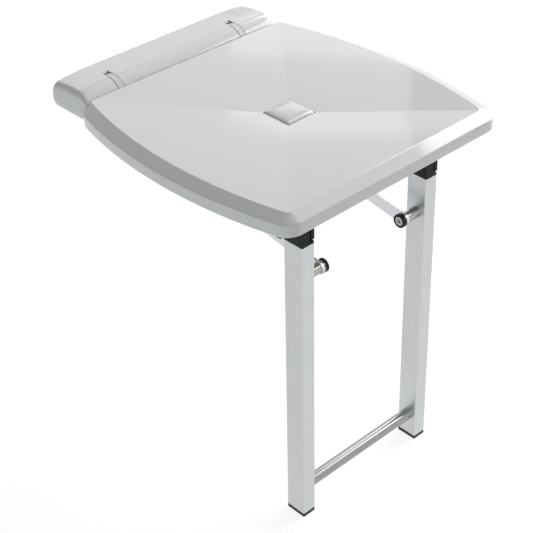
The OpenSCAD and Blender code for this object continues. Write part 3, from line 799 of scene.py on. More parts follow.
@dataclass
class SeatMoulding:
    """The seat: a bowed, round-cornered shell with a bevelled rim, a dished top and ribs below.

    Attributes:
        palette: The finishes.
        corner_radius: Radius of the corners in plan.
        bow: How far the sides bow out beyond the corners.
        side: Height of the upright side.
        toe: How far the side's foot is drawn in, and over what height.
        bevel: Width of the bevel in plan.
        back_step: Distance of the rim from the back edge, which has no bevel.
        fall: Fall of the top to the drain.
        drain: Side of the square drain hole.
        drain_setback: Distance of the drain's middle behind the front.
        collar: Depth of the collar round the drain hole.
        wall: Thickness of the shell.
        wall_relief: How much thinner the drawn shell is than that.
        shoulder_round: Rounding between the side and the bevel.
        rim_round: Rounding between the bevel and the top.
        lip_round: Rounding of the drain hole's edge.
        corner_steps: Number of faces round a corner.
        side_steps: Number of faces along a side.
        front_steps: Number of faces along half of the front.
        dish_cuts: Number of cuts between the rim and the drain.
        crease: Least angle of a crease in the dish, in degrees.
        upright: Least product of the upward shares of the normals beside a crease.
        rib: Thickness of a rib.
        rib_pitch: Distance between ribs.
        rib_rise: Height of the ribs' lower edges above the shell's foot.
        rib_round: Rounding of the ribs' edges.
        spider_width: Width of a bar of the spider in the drain hole.
        spider_grip: How far the spider's bars reach into the collar.
        spider_drop: Distance of the spider below the plug's top.
        boss_radius: Radius of a screw boss.
        boss_rows: Number of screw bosses over each rail.
        boss_pitch: Distance between screw bosses.
        rail_height: Height of a rail's straight stretch, on which the bosses sit.
    """

    palette: Palette
    corner_radius: float = 24 * MM
    bow: float = 26 * MM
    side: float = 16 * MM
    toe: Pair = (0.8 * MM, 1.2 * MM)
    bevel: float = 17 * MM
    back_step: float = 0.4 * MM
    fall: float = 5 * MM
    drain: float = 45 * MM
    drain_setback: float = 183 * MM
    collar: float = 14 * MM
    wall: float = 4 * MM
    wall_relief: float = 0.5 * MM
    shoulder_round: float = 1.3 * MM
    rim_round: float = 0.7 * MM
    lip_round: float = 0.5 * MM
    corner_steps: int = 8
    side_steps: int = 40
    front_steps: int = 20
    dish_cuts: int = 9
    crease: float = 0.9
    upright: float = 0.9
    rib: float = 2.5 * MM
    rib_pitch: float = 48 * MM
    rib_rise: float = 2 * MM
    rib_round: float = 0.3 * MM
    spider_width: float = 5 * MM
    spider_grip: float = 0.3 * MM
    spider_drop: float = 10.6 * MM
    boss_radius: float = 5 * MM
    boss_rows: int = 3
    boss_pitch: float = 103 * MM
    rail_height: float = 16 * MM

    def __post_init__(self) -> None:
        """Works out heights, the plan's arcs and the drain's place from the CAD seat."""
        low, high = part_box("seat_shell")
        self.front, self.back = low.y, high.y
        self.bottom, self.top = low.z, high.z
        self.shoulder = self.bottom + self.side
        self.drain_top = self.top - self.fall
        self.roof = self.drain_top - self.wall / 2
        self.middle = (low.y + high.y) / 2
        depth = high.y - low.y
        self.side_radius = ((depth / 2) ** 2 + self.bow**2) / (2 * self.bow)
        self.side_centre = high.x - self.side_radius
        self.corner_y = depth / 2 - self.corner_radius
        reach = self.side_radius - self.corner_radius
        self.corner_x = self.side_centre + math.sqrt(reach**2 - self.corner_y**2)
        self.side_angle = math.atan2(self.corner_y, self.corner_x - self.side_centre)
        self.rim_corner = self.corner_radius - self.bevel
        back_y = depth / 2 - self.back_step - self.rim_corner
        self.back_corner = (self.side_centre + math.sqrt(reach**2 - back_y**2), back_y)
        self.back_angle = math.asin(back_y / reach)
        self.drain_y = self.front + self.drain_setback

    def build(self) -> list[Object]:
        """Builds the shell and its ribs, and returns them."""
        return [self._shell(), self._ribs()]

    def _shell(self) -> Object:
        """Builds the shell with its rounded rim, side and drain edges.

        Returns:
            The shell.
        """
        mesh = bmesh.new()
        self._skirt(mesh)
        self._carry_rim_back(mesh)
        self._dish(mesh)
        weld(mesh)
        turn_out(mesh)
        shoulder, rim = level_edges(mesh, self.shoulder), level_edges(mesh, self.top)
        soften(mesh, shoulder, self.shoulder_round, steps=4)
        soften(mesh, rim, self.rim_round, steps=3)
        soften(mesh, level_edges(mesh, self.drain_top), self.lip_round, steps=2)
        shell = Piece("seat_moulding", Body.SEAT, "seat_plastic", self.palette.seat)
        piece = shell.close(mesh, ["seat_shell"])
        thicken(piece, self.wall - self.wall_relief)
        even_shading(piece)
        return piece

    def _skirt(self, mesh: BMesh) -> None:
        """Sweeps the edge profile round half of the seat and mirrors it.

        Args:
            mesh: The empty mesh.
        """
        toe_in, toe_up = self.toe
        pen = Pen.at(mesh, Vector((0, self.front + toe_in, self.bottom)))
        pen.line(Vector((0, self.front, self.bottom + toe_up)))
        pen.line(Vector((0, self.front, self.shoulder)))
        pen.line(Vector((0, self.front + self.bevel, self.top)))
        corner = QUARTER - self.side_angle
        chain = self._run_along(mesh, list(mesh.verts) + pen.edges, self.corner_x)
        arcs = (
            (self.corner_x, -self.corner_y, corner, self.corner_steps),
            (self.side_centre, 0, 2 * self.side_angle, self.side_steps),
            (self.corner_x, self.corner_y, corner, self.corner_steps),
        )
        for x, y, angle, steps in arcs:
            centre = Vector((0, self.middle, 0)) + Vector((x, y, 0))
            made = bmesh.ops.spin(mesh, geom=chain, cent=centre, axis=UP, angle=angle, steps=steps)
            chain = made["geom_last"]
        self._run_along(mesh, chain, -self.corner_x)
        whole = mesh.verts[:] + mesh.edges[:] + mesh.faces[:]
        bmesh.ops.mirror(mesh, geom=whole, axis="X", merge_dist=WELD)
        weld(mesh)

    def _run_along(self, mesh: BMesh, chain: Chain, run: float) -> Chain:
        """Extrudes a chain along the wall in even steps.

        Args:
            mesh: The mesh.
            chain: The chain's vertices and edges.
            run: How far to go, with its sign.

        Returns:
            The last chain's vertices and edges.
        """
        step = ALONG_WALL * (run / self.front_steps)
        for _ in range(self.front_steps):
            edges = [g for g in chain if isinstance(g, BMEdge)]
            made = bmesh.ops.extrude_edge_only(mesh, edges=edges)["geom"]
            verts = verts_of(made)
            bmesh.ops.translate(mesh, vec=step, verts=verts)
            chain = verts + [g for g in made if isinstance(g, BMEdge) and all(v in verts for v in g.verts)]
        return chain

    def _carry_rim_back(self, mesh: BMesh) -> None:
        """Slides the back half of the rim along its own curve to the back edge, which has no bevel.

        Args:
            mesh: The mesh with its skirt.
        """
        corner_x, corner_y = self.back_corner
        side_reach = self.side_radius - self.bevel
        for vert in mesh.verts:
            x, y = abs(vert.co.x), vert.co.y - self.middle
            if abs(vert.co.z - self.top) > LEVEL or y <= 0:
                continue
            about = math.atan2(y, x - self.side_centre)
            if x <= self.corner_x:
                x, y = x * corner_x / self.corner_x, corner_y + self.rim_corner
            elif about <= self.side_angle + WELD:
                about *= self.back_angle / self.side_angle
                x = self.side_centre + math.cos(about) * side_reach
                y = math.sin(about) * side_reach
            else:
                about = math.atan2(y - self.corner_y, x - self.corner_x)
                share = (about - self.side_angle) / (QUARTER - self.side_angle)
                about = self.back_angle + share * (QUARTER - self.back_angle)
                x = corner_x + math.cos(about) * self.rim_corner
                y = corner_y + math.sin(about) * self.rim_corner
            vert.co.x, vert.co.y = math.copysign(x, vert.co.x), self.middle + y

    def _dish(self, mesh: BMesh) -> None:
        """Bridges each side of the rim to a side of the drain hole, and sinks the drain's collar.

        Args:
            mesh: The mesh with its skirt.
        """
        rim = {v for e in level_edges(mesh, self.top) if e.is_boundary for v in e.verts}
        half = self.drain / 2
        signs = ((1, -1), (1, 1), (-1, 1), (-1, -1))
        corners = [self._rim_vertex(rim, across, deep) for across, deep in signs]
        hole = [Vector((across * half, self.drain_y + deep * half, self.drain_top)) for across, deep in signs]
        sides = [self._walk(start, end, rim) for start, end in zip(corners, corners[1:] + corners[:1])]
        for side, start, end in zip(sides, hole, hole[1:] + hole[:1]):
            pen = Pen.at(mesh, start)
            for step in range(1, len(side) + 1):
                pen.line(start.lerp(end, step / len(side)))
            bmesh.ops.bridge_loops(mesh, edges=side + pen.edges)
        weld(mesh)
        low = self.drain_top
        spokes = [e for e in mesh.edges if {abs(v.co.z - low) < LEVEL for v in e.verts} == {True, False}]
        bmesh.ops.subdivide_edges(mesh, edges=spokes, cuts=self.dish_cuts, use_grid_fill=True)
        for edge in mesh.edges:
            if edge.is_manifold and self._is_crease(edge):
                edge.smooth = False
        lip = [e for e in level_edges(mesh, low) if e.is_boundary]
        made = bmesh.ops.extrude_edge_only(mesh, edges=lip)["geom"]
        bmesh.ops.translate(mesh, vec=-UP * self.collar, verts=verts_of(made))

    def _rim_vertex(self, rim: set[BMVert], across: int, deep: int) -> BMVert:
        """Finds the rim's vertex halfway round one of its corners.

        Args:
            rim: The rim's vertices.
            across: Sign of the corner's X.
            deep: 1 at the wall, -1 at the front.

        Returns:
            The vertex.
        """
        (x, y), angle = (self.corner_x, self.corner_y), self.side_angle
        if deep > 0:
            (x, y), angle = self.back_corner, self.back_angle
        about = (QUARTER + angle) / 2
        x, y = x + math.cos(about) * self.rim_corner, y + math.sin(about) * self.rim_corner
        place = Vector((across * x, self.middle + deep * y, self.top))
        return min(rim, key=lambda v: (v.co - place).length)

    @staticmethod
    def _walk(start: BMVert, end: BMVert, allowed: set[BMVert]) -> list[BMEdge]:
        """Follows the rim from one vertex to another the shorter way.

        Args:
            start: First vertex.
            end: Last vertex.
            allowed: Vertices of the rim.

        Returns:
            The edges passed.
        """
        ways: list[list[BMEdge]] = []
        for edge in start.link_edges:
            if not (edge.is_boundary and edge.other_vert(start) in allowed):
                continue
            path, here = [edge], edge.other_vert(start)
            while here is not end:
                onward = [e for e in here.link_edges if e is not path[-1] and e.is_boundary]
                path.append(next(e for e in onward if e.other_vert(here) in allowed))
                here = path[-1].other_vert(here)
            ways.append(path)
        return min(ways, key=len)

    def _is_crease(self, edge: BMEdge) -> bool:
        """Whether an edge is one of the dish's creases from the drain to the corners.

        Args:
            edge: An edge between two faces.

        Returns:
            True if it slopes, bends and lies between faces that look up.
        """
        first, second = edge.link_faces
        slopes = abs(edge.verts[0].co.z - edge.verts[1].co.z) > 10 * WELD
        bends = edge.calc_face_angle(0.0) > math.radians(self.crease)
        return slopes and bends and first.normal.z * second.normal.z > self.upright

    def _ribs(self) -> Object:
        """Builds the ribs, the drain's spider and the screw bosses under the seat.

        Returns:
            The ribs' piece.
        """
        mesh = bmesh.new()
        rail_low, rail_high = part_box("seat_rail_right")
        rail_x = (rail_low.x + rail_high.x) / 2
        channel = (rail_high.x - rail_low.x) / 2 + self.rib
        places = [0.0, self.rib_pitch, rail_x - channel, rail_x + channel, rail_x + self.rib_pitch]
        self._lengthwise_ribs(mesh, places)
        self._crosswise_ribs(mesh)
        self._spider(mesh)
        self._bosses(mesh, rail_x, rail_low.z + self.rail_height)
        soften(mesh, sharp_edges(mesh), self.rib_round, steps=1)
        return Piece("seat_ribs", Body.SEAT, "seat_plastic", self.palette.seat).close(mesh)

    def _lengthwise_ribs(self, mesh: BMesh, places: Sequence[float]) -> None:
        """Adds the ribs that run from the front to the wall, split at the drain hole.

        Args:
            mesh: The mesh to add to.
            places: Their distances from the middle.
        """
        hole = self.drain / 2
        for x in sorted({side.value * place for place in places for side in Side}):
            reach = self._reach_y(abs(x) + self.wall)
            start, end = self.middle - reach, self.middle + reach
            spans = [(start, end)]
            if abs(x) <= hole:
                spans = [(start, self.drain_y - hole), (self.drain_y + hole, end)]
            for near, far in spans:
                low = (x - self.rib / 2, near, self.bottom + self.rib_rise)
                add_block(mesh, low, (x + self.rib / 2, far, self.roof))

    def _crosswise_ribs(self, mesh: BMesh) -> None:
        """Adds the ribs that run along the wall, with the drain hole in one of them.

        Args:
            mesh: The mesh to add to.
        """
        hole, edge = self.drain / 2, 2 * self.wall
        count = int((self.back - self.front) / self.rib_pitch)
        for row in range(-count, count + 1):
            y = self.drain_y + row * self.rib_pitch
            if not self.front + edge < y < self.back - edge:
                continue
            reach = self._reach_x(y) - self.wall
            spans = [(-reach, reach)] if row else [(-reach, -hole), (hole, reach)]
            for start, end in spans:
                low = (start, y - self.rib / 2, self.bottom + self.rib_rise)
                add_block(mesh, low, (end, y + self.rib / 2, self.roof))

    def _spider(self, mesh: BMesh) -> None:
        """Adds the cross in the drain hole that carries the plug.

        Args:
            mesh: The mesh to add to.
        """
        low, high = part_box("drain_plug")
        long, short = self.drain / 2 + self.spider_grip, self.spider_width / 2
        for x, y in ((long, short), (short, long)):
            add_block(mesh, (-x, self.drain_y - y, low.z), (x, self.drain_y + y, high.z - self.spider_drop))

    def _bosses(self, mesh: BMesh, rail_x: float, foot: float) -> None:
        """Adds the screw bosses between the rails and the shell.

        Args:
            mesh: The mesh to add to.
            rail_x: Distance of the rails from the middle.
            foot: Height of the rails' upper side.
        """
        low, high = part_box("rail_screws")
        for row in range(self.boss_rows):
            y = (low.y + high.y) / 2 + (row - (self.boss_rows - 1) / 2) * self.boss_pitch
            for side in Side:
                place = Vector((side.value * rail_x, y, foot))
                add_post(mesh, place, self.roof, self.boss_radius, facets=24)

    def _reach_x(self, y: float) -> float:
        """Finds half the seat's width at a place along its depth.

        Args:
            y: The place.

        Returns:
            The distance from the middle to the edge.
        """
        offset = abs(y - self.middle)
        if offset <= self.corner_y:
            return self.side_centre + math.sqrt(self.side_radius**2 - offset**2)
        return self.corner_x + math.sqrt(max(self.corner_radius**2 - (offset - self.corner_y) ** 2, 0))

    def _reach_y(self, x: float) -> float:
        """Finds half the depth that a rib may take at a place across the seat's width.

        Args:
            x: Distance of the place from the middle.

        Returns:
            The distance from the middle of the depth to the rib's end.
        """
        if x <= self.corner_x:
            return self.corner_y + self.corner_radius - self.wall
        return self.corner_y - self.wall


@dataclass
class DrainPlug:
    """The square plug: a thin edge with a crown of four soft facets, on a foot and a stem.

    Attributes:
        palette: The finishes.
        edge: Height of the upright edge.
        corner: Radius of the edge's corners.
        crown: The crown's steps from the edge inwards, each with its inset and rise in millimetres.
        stem_radius: Radius of the stem.
        foot_radius: Radius of the foot.
        foot_drop: How far the foot reaches below the edge.
        sink: How far foot and stem reach up into the edge, from its top.
        soft_edge: Rounding of the sharp edges.
    """

    palette: Palette
    edge: float = 4 * MM
    corner: float = 2 * MM
    crown: tuple[Pair, ...] = ((0.4, 0.5), (1.1, 0.45), (3.0, 0.55), (4.0, 0.45), (5.0, 0.3), (4.0, 0.1))
    stem_radius: float = 4 * MM
    foot_radius: float = 7 * MM
    foot_drop: float = 3 * MM
    sink: float = 2 * MM
    soft_edge: float = 0.4 * MM

    def build(self) -> list[Object]:
        """Builds the plug.

        Returns:
            The plug.
        """
        low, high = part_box("drain_plug")
        mesh = bmesh.new()
        eaves = high.z - sum(rise for _, rise in self.crown) * MM
        add_block(mesh, (low.x, low.y, eaves - self.edge), (high.x, high.y, eaves))
        upright = [e for e in mesh.edges if abs(e.verts[0].co.z - e.verts[1].co.z) > self.edge / 2]
        soften(mesh, upright, self.corner, steps=4)
        middle = Vector(((low.x + high.x) / 2, (low.y + high.y) / 2, 0))
        self._raise_crown(mesh, middle, (high.x - low.x) / 2)
        foot = eaves - self.edge - self.foot_drop
        for start, radius in ((low.z, self.stem_radius), (foot, self.foot_radius)):
            add_post(mesh, middle + UP * start, eaves - self.sink, radius, facets=32)
        soften(mesh, sharp_edges(mesh, angle=50.0), self.soft_edge, steps=2)
        plug = Piece("drain_plug_crowned", Body.SEAT, "seat_plastic", self.palette.plug)
        return [plug.close(mesh, ["drain_plug"])]

    def _raise_crown(self, mesh: BMesh, middle: Vector, reach: float) -> None:
        """Raises the crown on the highest face, step by step.

        Args:
            mesh: The mesh.
            middle: Middle of the plug in plan.
            reach: Half the plug's side.
        """
        for inset, rise in self.crown:
            top = max(mesh.faces, key=lambda f: f.calc_center_median().z)
            ring = verts_of(bmesh.ops.extrude_face_region(mesh, geom=[top])["geom"])
            share = (reach - inset * MM) / reach
            bmesh.ops.scale(mesh, vec=(share, share, 1), space=Matrix.Translation(-middle), verts=ring)
            bmesh.ops.translate(mesh, vec=UP * rise * MM, verts=ring)
            bmesh.ops.delete(mesh, geom=[top], context="FACES_ONLY")
            reach -= inset * MM


# ---------------------------------------------------------------- cover


@dataclass
class HingeCover:
    """The long cover over the wall brackets: a skin with a round front, rounded ends and two slots.

    Attributes:
        palette: The finishes.
        radius: Radius of the round front.
        back_round: Radius of the corners at the wall.
        end_round: Rounding of the ends.
        nose_round: Rounding of the lower front edge.
        edge_round: Rounding of the skin's sharp edges.
        wall: Thickness of the skin.
        slot_gaps: Gap on an arm's -X side and on its +X side, as the arms sit in their slots.
        slot_back: How far a slot reaches behind the hinge axis.
        slot_drop: How far a slot reaches below its arm.
        ramp: Length and fall of the slope that leads into a slot at its back.
        crown: Fall of the top at the wall from the slots to the ends.
        nose_share: Share of that fall at the round front.
        crown_steps: Number of stretches between a slot and the rounded end.
        end_steps: Number of stretches over the rounded end.
        back_steps: Number of edges round a corner at the wall.
        arc_steps: Number of edges down the round front as far as the slots go.
        under_steps: Number of edges from there to the nose.
        nose_steps: Number of edges round the nose.
    """

    palette: Palette
    radius: float = 25 * MM
    back_round: float = 6 * MM
    end_round: float = 8 * MM
    nose_round: float = 2 * MM
    edge_round: float = 0.35 * MM
    wall: float = 2.5 * MM
    slot_gaps: Pair = (1.5 * MM, 0.5 * MM)
    slot_back: float = 12.0 * MM
    slot_drop: float = 0.8 * MM
    ramp: Pair = (3.0 * MM, 2.2 * MM)
    crown: float = 3.0 * MM
    nose_share: float = 0.1
    crown_steps: int = 5
    end_steps: int = 7
    back_steps: int = 6
    arc_steps: int = 18
    under_steps: int = 4
    nose_steps: int = 5

    def __post_init__(self) -> None:
        """Works out the hinge axis and the slots from the frame."""
        self.low, self.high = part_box("bracket_cover")
        self.axis_y = self.low.y + self.radius
        self.axis_z = self.high.z - self.radius
        self.straight = self.high.x - self.end_round
        arm_low, arm_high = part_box("seat_rail_right")
        minus_gap, plus_gap = self.slot_gaps
        self.slot_sides = {
            Side.RIGHT: (arm_low.x - minus_gap, arm_high.x + plus_gap),
            Side.LEFT: (arm_low.x - plus_gap, arm_high.x + minus_gap),
        }
        self.slot_end = self.axis_y + self.slot_back + self.ramp[0]
        self.slot_bottom = arm_low.z - self.slot_drop
        slot_sink = math.asin((self.axis_z - self.slot_bottom) / self.radius)
        self.slot_share = (QUARTER + slot_sink) / (QUARTER + self._nose_sink(0.0, 0.0))

    def build(self) -> list[Object]:
        """Builds the cover's skin.

        Returns:
            The skin.
        """
        mesh = bmesh.new()
        for side in Side:
            chains = [self._section(mesh, side.value * x, inset) for x, inset in self._stations(side)]
            for near, far in zip(chains, chains[1:]):
                bmesh.ops.bridge_loops(mesh, edges=near + far)
            end = chains[-1]
            at_wall = [v for e in (end[0], end[-1]) for v in e.verts if abs(v.co.y) < LEVEL]
            closing = bmesh.ops.contextual_create(mesh, geom=at_wall)["edges"]
            bmesh.ops.contextual_create(mesh, geom=end + closing)
        weld(mesh)
        self._cut_slots(mesh)
        skin = Piece("cover_skin", Body.WALL, "seat_plastic", self.palette.cover)
        piece = skin.close(mesh, ["bracket_cover"])
        thicken(piece, self.wall)
        round_over(piece, self.edge_round, steps=2)
        return [piece]

    def _stations(self, side: Side) -> list[Pair]:
        """Lists where the sections stand on one side, from the middle out.

        Args:
            side: The side.

        Returns:
            Each section's distance from the middle, and how far it is drawn in.
        """
        inner, outer = self.slot_sides[side]
        stations = [(0.0, 0.0), (inner, 0.0)]
        for step in range(self.crown_steps):
            stations.append((outer + (self.straight - outer) * step / self.crown_steps, 0.0))
        for step in range(self.end_steps + 1):
            angle = QUARTER * step / self.end_steps
            inset = self.end_round * (1 - math.cos(angle))
            stations.append((self.straight + self.end_round * math.sin(angle), inset))
        return stations

    def _section(self, mesh: BMesh, x: float, inset: float) -> list[BMEdge]:
        """Draws the cover's section at one place along it.

        Args:
            mesh: The mesh to draw in.
            x: Place along the wall.
            inset: How far the section is drawn in, except at the wall.

        Returns:
            The section's edges, from the top at the wall to the bottom at the wall.
        """
        fall = self._fall(abs(x))
        nose_fall = fall * self.nose_share
        top, bottom = self.high.z - fall - inset, self.low.z + inset
        front_top = top + fall * (1 - self.nose_share)
        radius = self.radius - inset
        sink = self._nose_sink(inset, nose_fall)
        axis = Vector((x, self.axis_y, self.axis_z - nose_fall))
        nose = axis + Vector((0, -math.cos(sink), -math.sin(sink))) * (radius - self.nose_round)
        slot = (QUARTER + sink) * self.slot_share
        pen = Pen.at(mesh, Vector((x, 0, top - self.back_round)))
        pen.arc(Vector((x, -self.back_round, top - self.back_round)), ALONG_WALL, QUARTER, self.back_steps)
        pen.line(Vector((x, self.slot_end, front_top)))
        pen.line(Vector((x, self.axis_y, front_top)))
        pen.arc(axis, ALONG_WALL, slot, self.arc_steps)
        pen.arc(axis, ALONG_WALL, QUARTER + sink - slot, self.under_steps)
        pen.arc(nose, ALONG_WALL, QUARTER - sink, self.nose_steps)
        pen.line(Vector((x, -self.back_round, bottom)))
        pen.arc(Vector((x, -self.back_round, bottom + self.back_round)), ALONG_WALL, QUARTER, self.back_steps)
        return pen.edges

    def _fall(self, x: float) -> float:
        """How far the top at the wall has fallen at a distance from the middle."""
        start = self.slot_sides[Side.LEFT][1]
        return self.crown * (max(x - start, 0.0) / (self.straight - start)) ** 2

    def _nose_sink(self, inset: float, fall: float) -> float:
        """Angle below its axis at which the round front passes into the nose's rounding."""
        drop = self.axis_z - fall - self.low.z - inset - self.nose_round
        return math.asin(drop / (self.radius - inset - self.nose_round))

    def _cut_slots(self, mesh: BMesh) -> None:
        """Opens the slots and leads a short slope into each at its back.

        Args:
            mesh: The closed skin.
        """
        slot = [f for f in mesh.faces if self._in_slot(f.calc_center_median())]
        bmesh.ops.delete(mesh, geom=slot, context="FACES")
        edges = [e for e in mesh.edges if e.is_boundary]
        lips = [e for e in edges if all(abs(v.co.y - self.slot_end) < WELD for v in e.verts)]
        made = bmesh.ops.extrude_edge_only(mesh, edges=lips)["geom"]
        length, fall = self.ramp
        bmesh.ops.translate(mesh, vec=Vector((0, -length, -fall)), verts=verts_of(made))

    def _in_slot(self, place: Vector) -> bool:
        """Whether a face's middle lies in one of the slots."""
        inner, outer = self.slot_sides[Side.RIGHT if place.x > 0 else Side.LEFT]
        return inner < abs(place.x) < outer and place.y < self.slot_end and place.z > self.slot_bottom


# ---------------------------------------------------------------- metalwork


@dataclass
class Metalwork:
    """The rails, brackets, pins, legs and struts: CAD nodes with their finishes and rounded edges.

    Attributes:
        palette: The finishes.
        nodes: The frame's nodes.
        merge: Distance within which a node's vertices are merged before its edges are rounded.
        flat: Angle under which its faces count as one flat, in degrees.
    """

    palette: Palette
    nodes: dict[str, Object]
    merge: float = 2 * WELD
    flat: float = 0.6

    def build(self) -> list[Object]:
        """Dresses every node that stays.

        Returns:
            The nodes.
        """
        look = self.palette
        paired = {
            "wall_bracket": (look.zinc, 0.4),
            "seat_rail": (look.rail, 0.5),
            "seat_hinge_pin": (look.bright, 0.3),
            "strut_wall_pin": (look.bright, 0.3),
            "hinge_bush": (look.nylon, 0),
            "leg_bracket": (look.black, 0.5),
            "leg_knuckle": (look.black, 0.5),
            "leg_pin": (look.bright, 0.3),
            "knuckle_washer": (look.bright, 0),
            "leg_tube": (look.leg, 0.2),
            "foot": (look.rubber, 0),
            "strut_spacer": (look.nickel, 0.4),
            "strut_washer": (look.nickel, 0.2),
            "pivot_cap": (look.black, 0.7, 3),
            "pivot_screw": (look.nickel, 0.3),
            "clamp_nut": (look.bright, 0),
            "strut": (look.strut, 0.4),
            "strut_rear_bush": (look.nylon, 0),
        }
        single = {
            "crossbar": (look.crossbar, 0),
            "seat_hinge_clips": (look.bright, 0.2),
            "strut_wall_clips": (look.bright, 0.2),
            "rail_screws": (look.bright, 0.2),
            "leg_bracket_bolts": (look.bright, 0.2),
            "cover_screws": (look.bright, 0.2),
        }
        ways = {f"{name}_{side.word}": way for name, way in paired.items() for side in Side} | single
        return [self._dress(name, *way) for name, way in ways.items()]

    def _dress(self, name: str, finish: Material, edge: float, steps: int = 2) -> Object:
        """Gives a node its finish, and rounds its edges where they show.

        Args:
            name: The node's name.
            finish: Its material.
            edge: Radius to which its edges are rounded in millimetres, or 0.
            steps: Number of segments of the rounding.

        Returns:
            The node.
        """
        node = self.nodes[name]
        node.data.materials.clear()
        node.data.materials.append(finish)
        if edge:
            merged = node.modifiers.new("weld", "WELD")
            merged.merge_threshold = self.merge
            flats = node.modifiers.new("flats", "DECIMATE")
            flats.decimate_type = "DISSOLVE"
            flats.angle_limit = math.radians(self.flat)
            round_over(node, edge * MM, steps)
        return node


# ---------------------------------------------------------------- studio


def way_from(azimuth: float, elevation: float) -> Vector:
    """Direction to where something stands, from degrees from -Y towards +X and above the horizon."""
    turn, rise = math.radians(azimuth), math.radians(elevation)
    return Vector((math.sin(turn) * math.cos(rise), -math.cos(turn) * math.cos(rise), math.sin(rise)))


class Shape(Enum):
    """Outlines of a lamp's panel, with the share of width times height that each fills."""

    RECTANGLE = 1.0
    ELLIPSE = math.pi / 4


@dataclass(frozen=True)
class Lamp:
    """A soft panel of light that faces a point.

    Attributes:
        name: Name of the lamp.
        azimuth: Where it stands, in degrees from -Y towards +X.
        elevation: Its height above the horizon in degrees.
        distance: Distance from the target.
        size: Width and height.
        radiance: Brightness of its surface.
        tint: Colour of its light.
        shape: Outline of its panel.
    """

    name: str
    azimuth: float
    elevation: float
    distance: float
    size: Pair
    radiance: float
    tint: Colour = (1.0, 1.0, 1.0)
    shape: Shape = Shape.RECTANGLE

    def light(self, target: Vector) -> None:
        """Puts the lamp in the scene.

        Args:
            target: The point that it faces.
        """
        data = bpy.data.lights.new(self.name, "AREA")
        data.shape = self.shape.name
        data.size, data.size_y = self.size
        data.energy = self.radiance * math.pi * self.size[0] * self.size[1] * self.shape.value
        data.color = self.tint
        way = way_from(self.azimuth, self.elevation)
        lamp = put_in_scene(self.name, data)
        lamp.location = target + way * self.distance
        lamp.rotation_mode = "QUATERNION"
        lamp.rotation_quaternion = way.to_track_quat("Z", "Y")


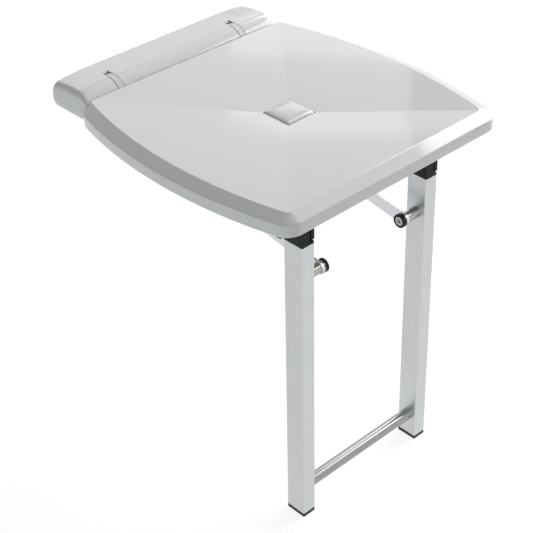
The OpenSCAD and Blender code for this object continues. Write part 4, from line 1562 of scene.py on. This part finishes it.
@dataclass
class Studio:
    """Floor, white surroundings, lamps and camera.

    Attributes:
        ambient: Brightness of the surroundings as light.
        floor_half: Half the side of the floor.
        floor_colour: Colour of the floor as a surface.
        floor_glow: Brightness of the floor's white where it is seen.
        floor_share: Share of that white in what is seen of the floor; the rest keeps the shadow.
        sensor: Width of the camera's sensor in millimetres.
        lens: Focal length of the camera in millimetres.
        shift: Shift of the camera's picture to the side and up.
        clip: Nearest and farthest distance that the camera sees.
        camera_place: Where the camera stands.
        camera_azimuth: Direction from which it looks, in degrees from -Y towards +X.
        camera_elevation: Angle at which it looks down, in degrees.
        lamps: The lamps.
    """

    ambient: float = 0.02
    floor_half: float = 6.0
    floor_colour: Colour = (0.8, 0.8, 0.8)
    floor_glow: float = 1.2
    floor_share: float = 0.72
    sensor: float = 36.0
    lens: float = 99.15
    shift: Pair = (-0.0973, -0.0872)
    clip: Pair = (0.05, 50.0)
    camera_place: tuple[float, float, float] = (-1.0741, -1.3808, 0.9071)
    camera_azimuth: float = -45.0
    camera_elevation: float = 33.18
    lamps: tuple[Lamp, ...] = (
        Lamp("back_panel", 150.6, 30.2, 2.09, (1.5, 0.74), 0.66, shape=Shape.ELLIPSE),
        Lamp("back_right_panel", 128.5, 21.0, 2.1, (0.75, 0.52), 0.66),
        Lamp("right_high_panel", 86.0, 56.0, 4.0, (5.0, 1.0), 1.2),
        Lamp("right_panel", 88.0, 26.5, 4.0, (4.6, 3.2), 5.8),
        Lamp("left_panel", -98.0, 5.0, 4.0, (3.0, 1.6), 2.4, (0.90, 0.96, 1.0)),
        Lamp("front_left_panel", -50.0, 5.0, 4.0, (3.0, 1.6), 2.05, (0.985, 1.0, 0.99)),
    )

    def build(self) -> None:
        """Builds the studio."""
        self._floor()
        self._surroundings()
        low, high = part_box("seat_shell")
        for lamp in self.lamps:
            lamp.light((low + high) / 2)
        self._camera()
        bpy.context.scene.view_settings.view_transform = "Standard"

    @staticmethod
    def _mix_seen(board: NodeBoard, lit: Node, seen: Node, share: float) -> NodeSocket:
        """Mixes a shader into another for rays from the camera, from gloss and through glass.

        Args:
            board: The tree's board.
            lit: Shader for every other ray.
            seen: Shader that is mixed in.
            share: Share of it.

        Returns:
            The mixed shader.
        """
        rays = board.add("ShaderNodeLightPath").outputs
        shown = board.maths("MAXIMUM", rays["Is Camera Ray"], rays["Is Glossy Ray"])
        shown = board.maths("MAXIMUM", shown, rays["Is Transmission Ray"])
        mix = board.add("ShaderNodeMixShader")
        inputs = (board.maths("MULTIPLY", shown, share), lit.outputs[0], seen.outputs[0])
        for socket, value in zip(mix.inputs, inputs):
            board.give(socket, value)
        return mix.outputs["Shader"]

    def _floor(self) -> None:
        """Lays a white floor that keeps a soft shadow."""
        mesh = bmesh.new()
        bmesh.ops.create_grid(mesh, x_segments=1, y_segments=1, size=self.floor_half)
        bmesh.ops.translate(mesh, vec=UP * cad_bounds[0].z, verts=mesh.verts)
        data = bpy.data.meshes.new("floor")
        mesh.to_mesh(data)
        mesh.free()
        floor = put_in_scene("floor", data)
        material = bpy.data.materials.new("floor_white")
        material.use_nodes = True
        material.node_tree.nodes.clear()
        board = NodeBoard(material.node_tree)
        matt = board.feed(board.add("ShaderNodeBsdfDiffuse"), Color=(*self.floor_colour, 1.0))
        glow = board.feed(board.add("ShaderNodeEmission"), Color=WHITE, Strength=self.floor_glow)
        shader = self._mix_seen(board, matt, glow, self.floor_share)
        board.feed(board.add("ShaderNodeOutputMaterial"), Surface=shader)
        data.materials.append(material)

    def _surroundings(self) -> None:
        """Makes the world even grey for light and white where it is seen."""
        world = bpy.data.worlds.new("surroundings")
        bpy.context.scene.world = world
        world.use_nodes = True
        world.node_tree.nodes.clear()
        board = NodeBoard(world.node_tree)
        dim = board.feed(board.add("ShaderNodeBackground"), Color=WHITE, Strength=self.ambient)
        white = board.feed(board.add("ShaderNodeBackground"), Color=WHITE, Strength=1.0)
        shader = self._mix_seen(board, dim, white, 1.0)
        board.feed(board.add("ShaderNodeOutputWorld"), Surface=shader)

    def _camera(self) -> None:
        """Sets up the camera."""
        data = bpy.data.cameras.new("camera")
        data.sensor_width = self.sensor
        data.lens = self.lens
        data.shift_x, data.shift_y = self.shift
        data.clip_start, data.clip_end = self.clip
        camera = put_in_scene("camera", data)
        camera.location = self.camera_place
        camera.rotation_mode = "QUATERNION"
        look = -way_from(self.camera_azimuth, self.camera_elevation)
        camera.rotation_quaternion = look.to_track_quat("-Z", "Y")
        bpy.context.scene.camera = camera


# ---------------------------------------------------------------- whole scene


def clear_startup() -> None:
    """Removes whatever a new file starts with, apart from the frame."""
    ours = set(frame["nodes"].values()) | set(frame["bodies"].values())
    for thing in [o for o in bpy.context.scene.objects if o not in ours]:
        bpy.data.objects.remove(thing)


def main() -> None:
    """Builds the studio and the sub-assemblies in order, and reports each piece."""
    logging.basicConfig(level=logging.INFO, format="%(name)s: %(message)s")
    clear_startup()
    Studio().build()
    palette = Palette()
    seat, plug, cover = SeatMoulding(palette), DrainPlug(palette), HingeCover(palette)
    for assembly in (seat, plug, cover, Metalwork(palette, frame["nodes"])):
        for piece in assembly.build():
            faces, finish = len(piece.data.polygons), piece.data.materials[0].name
            LOG.info("%s: %s, %d faces in %s", type(assembly).__name__, piece.name, faces, finish)


if __name__ == "__main__":
    main()
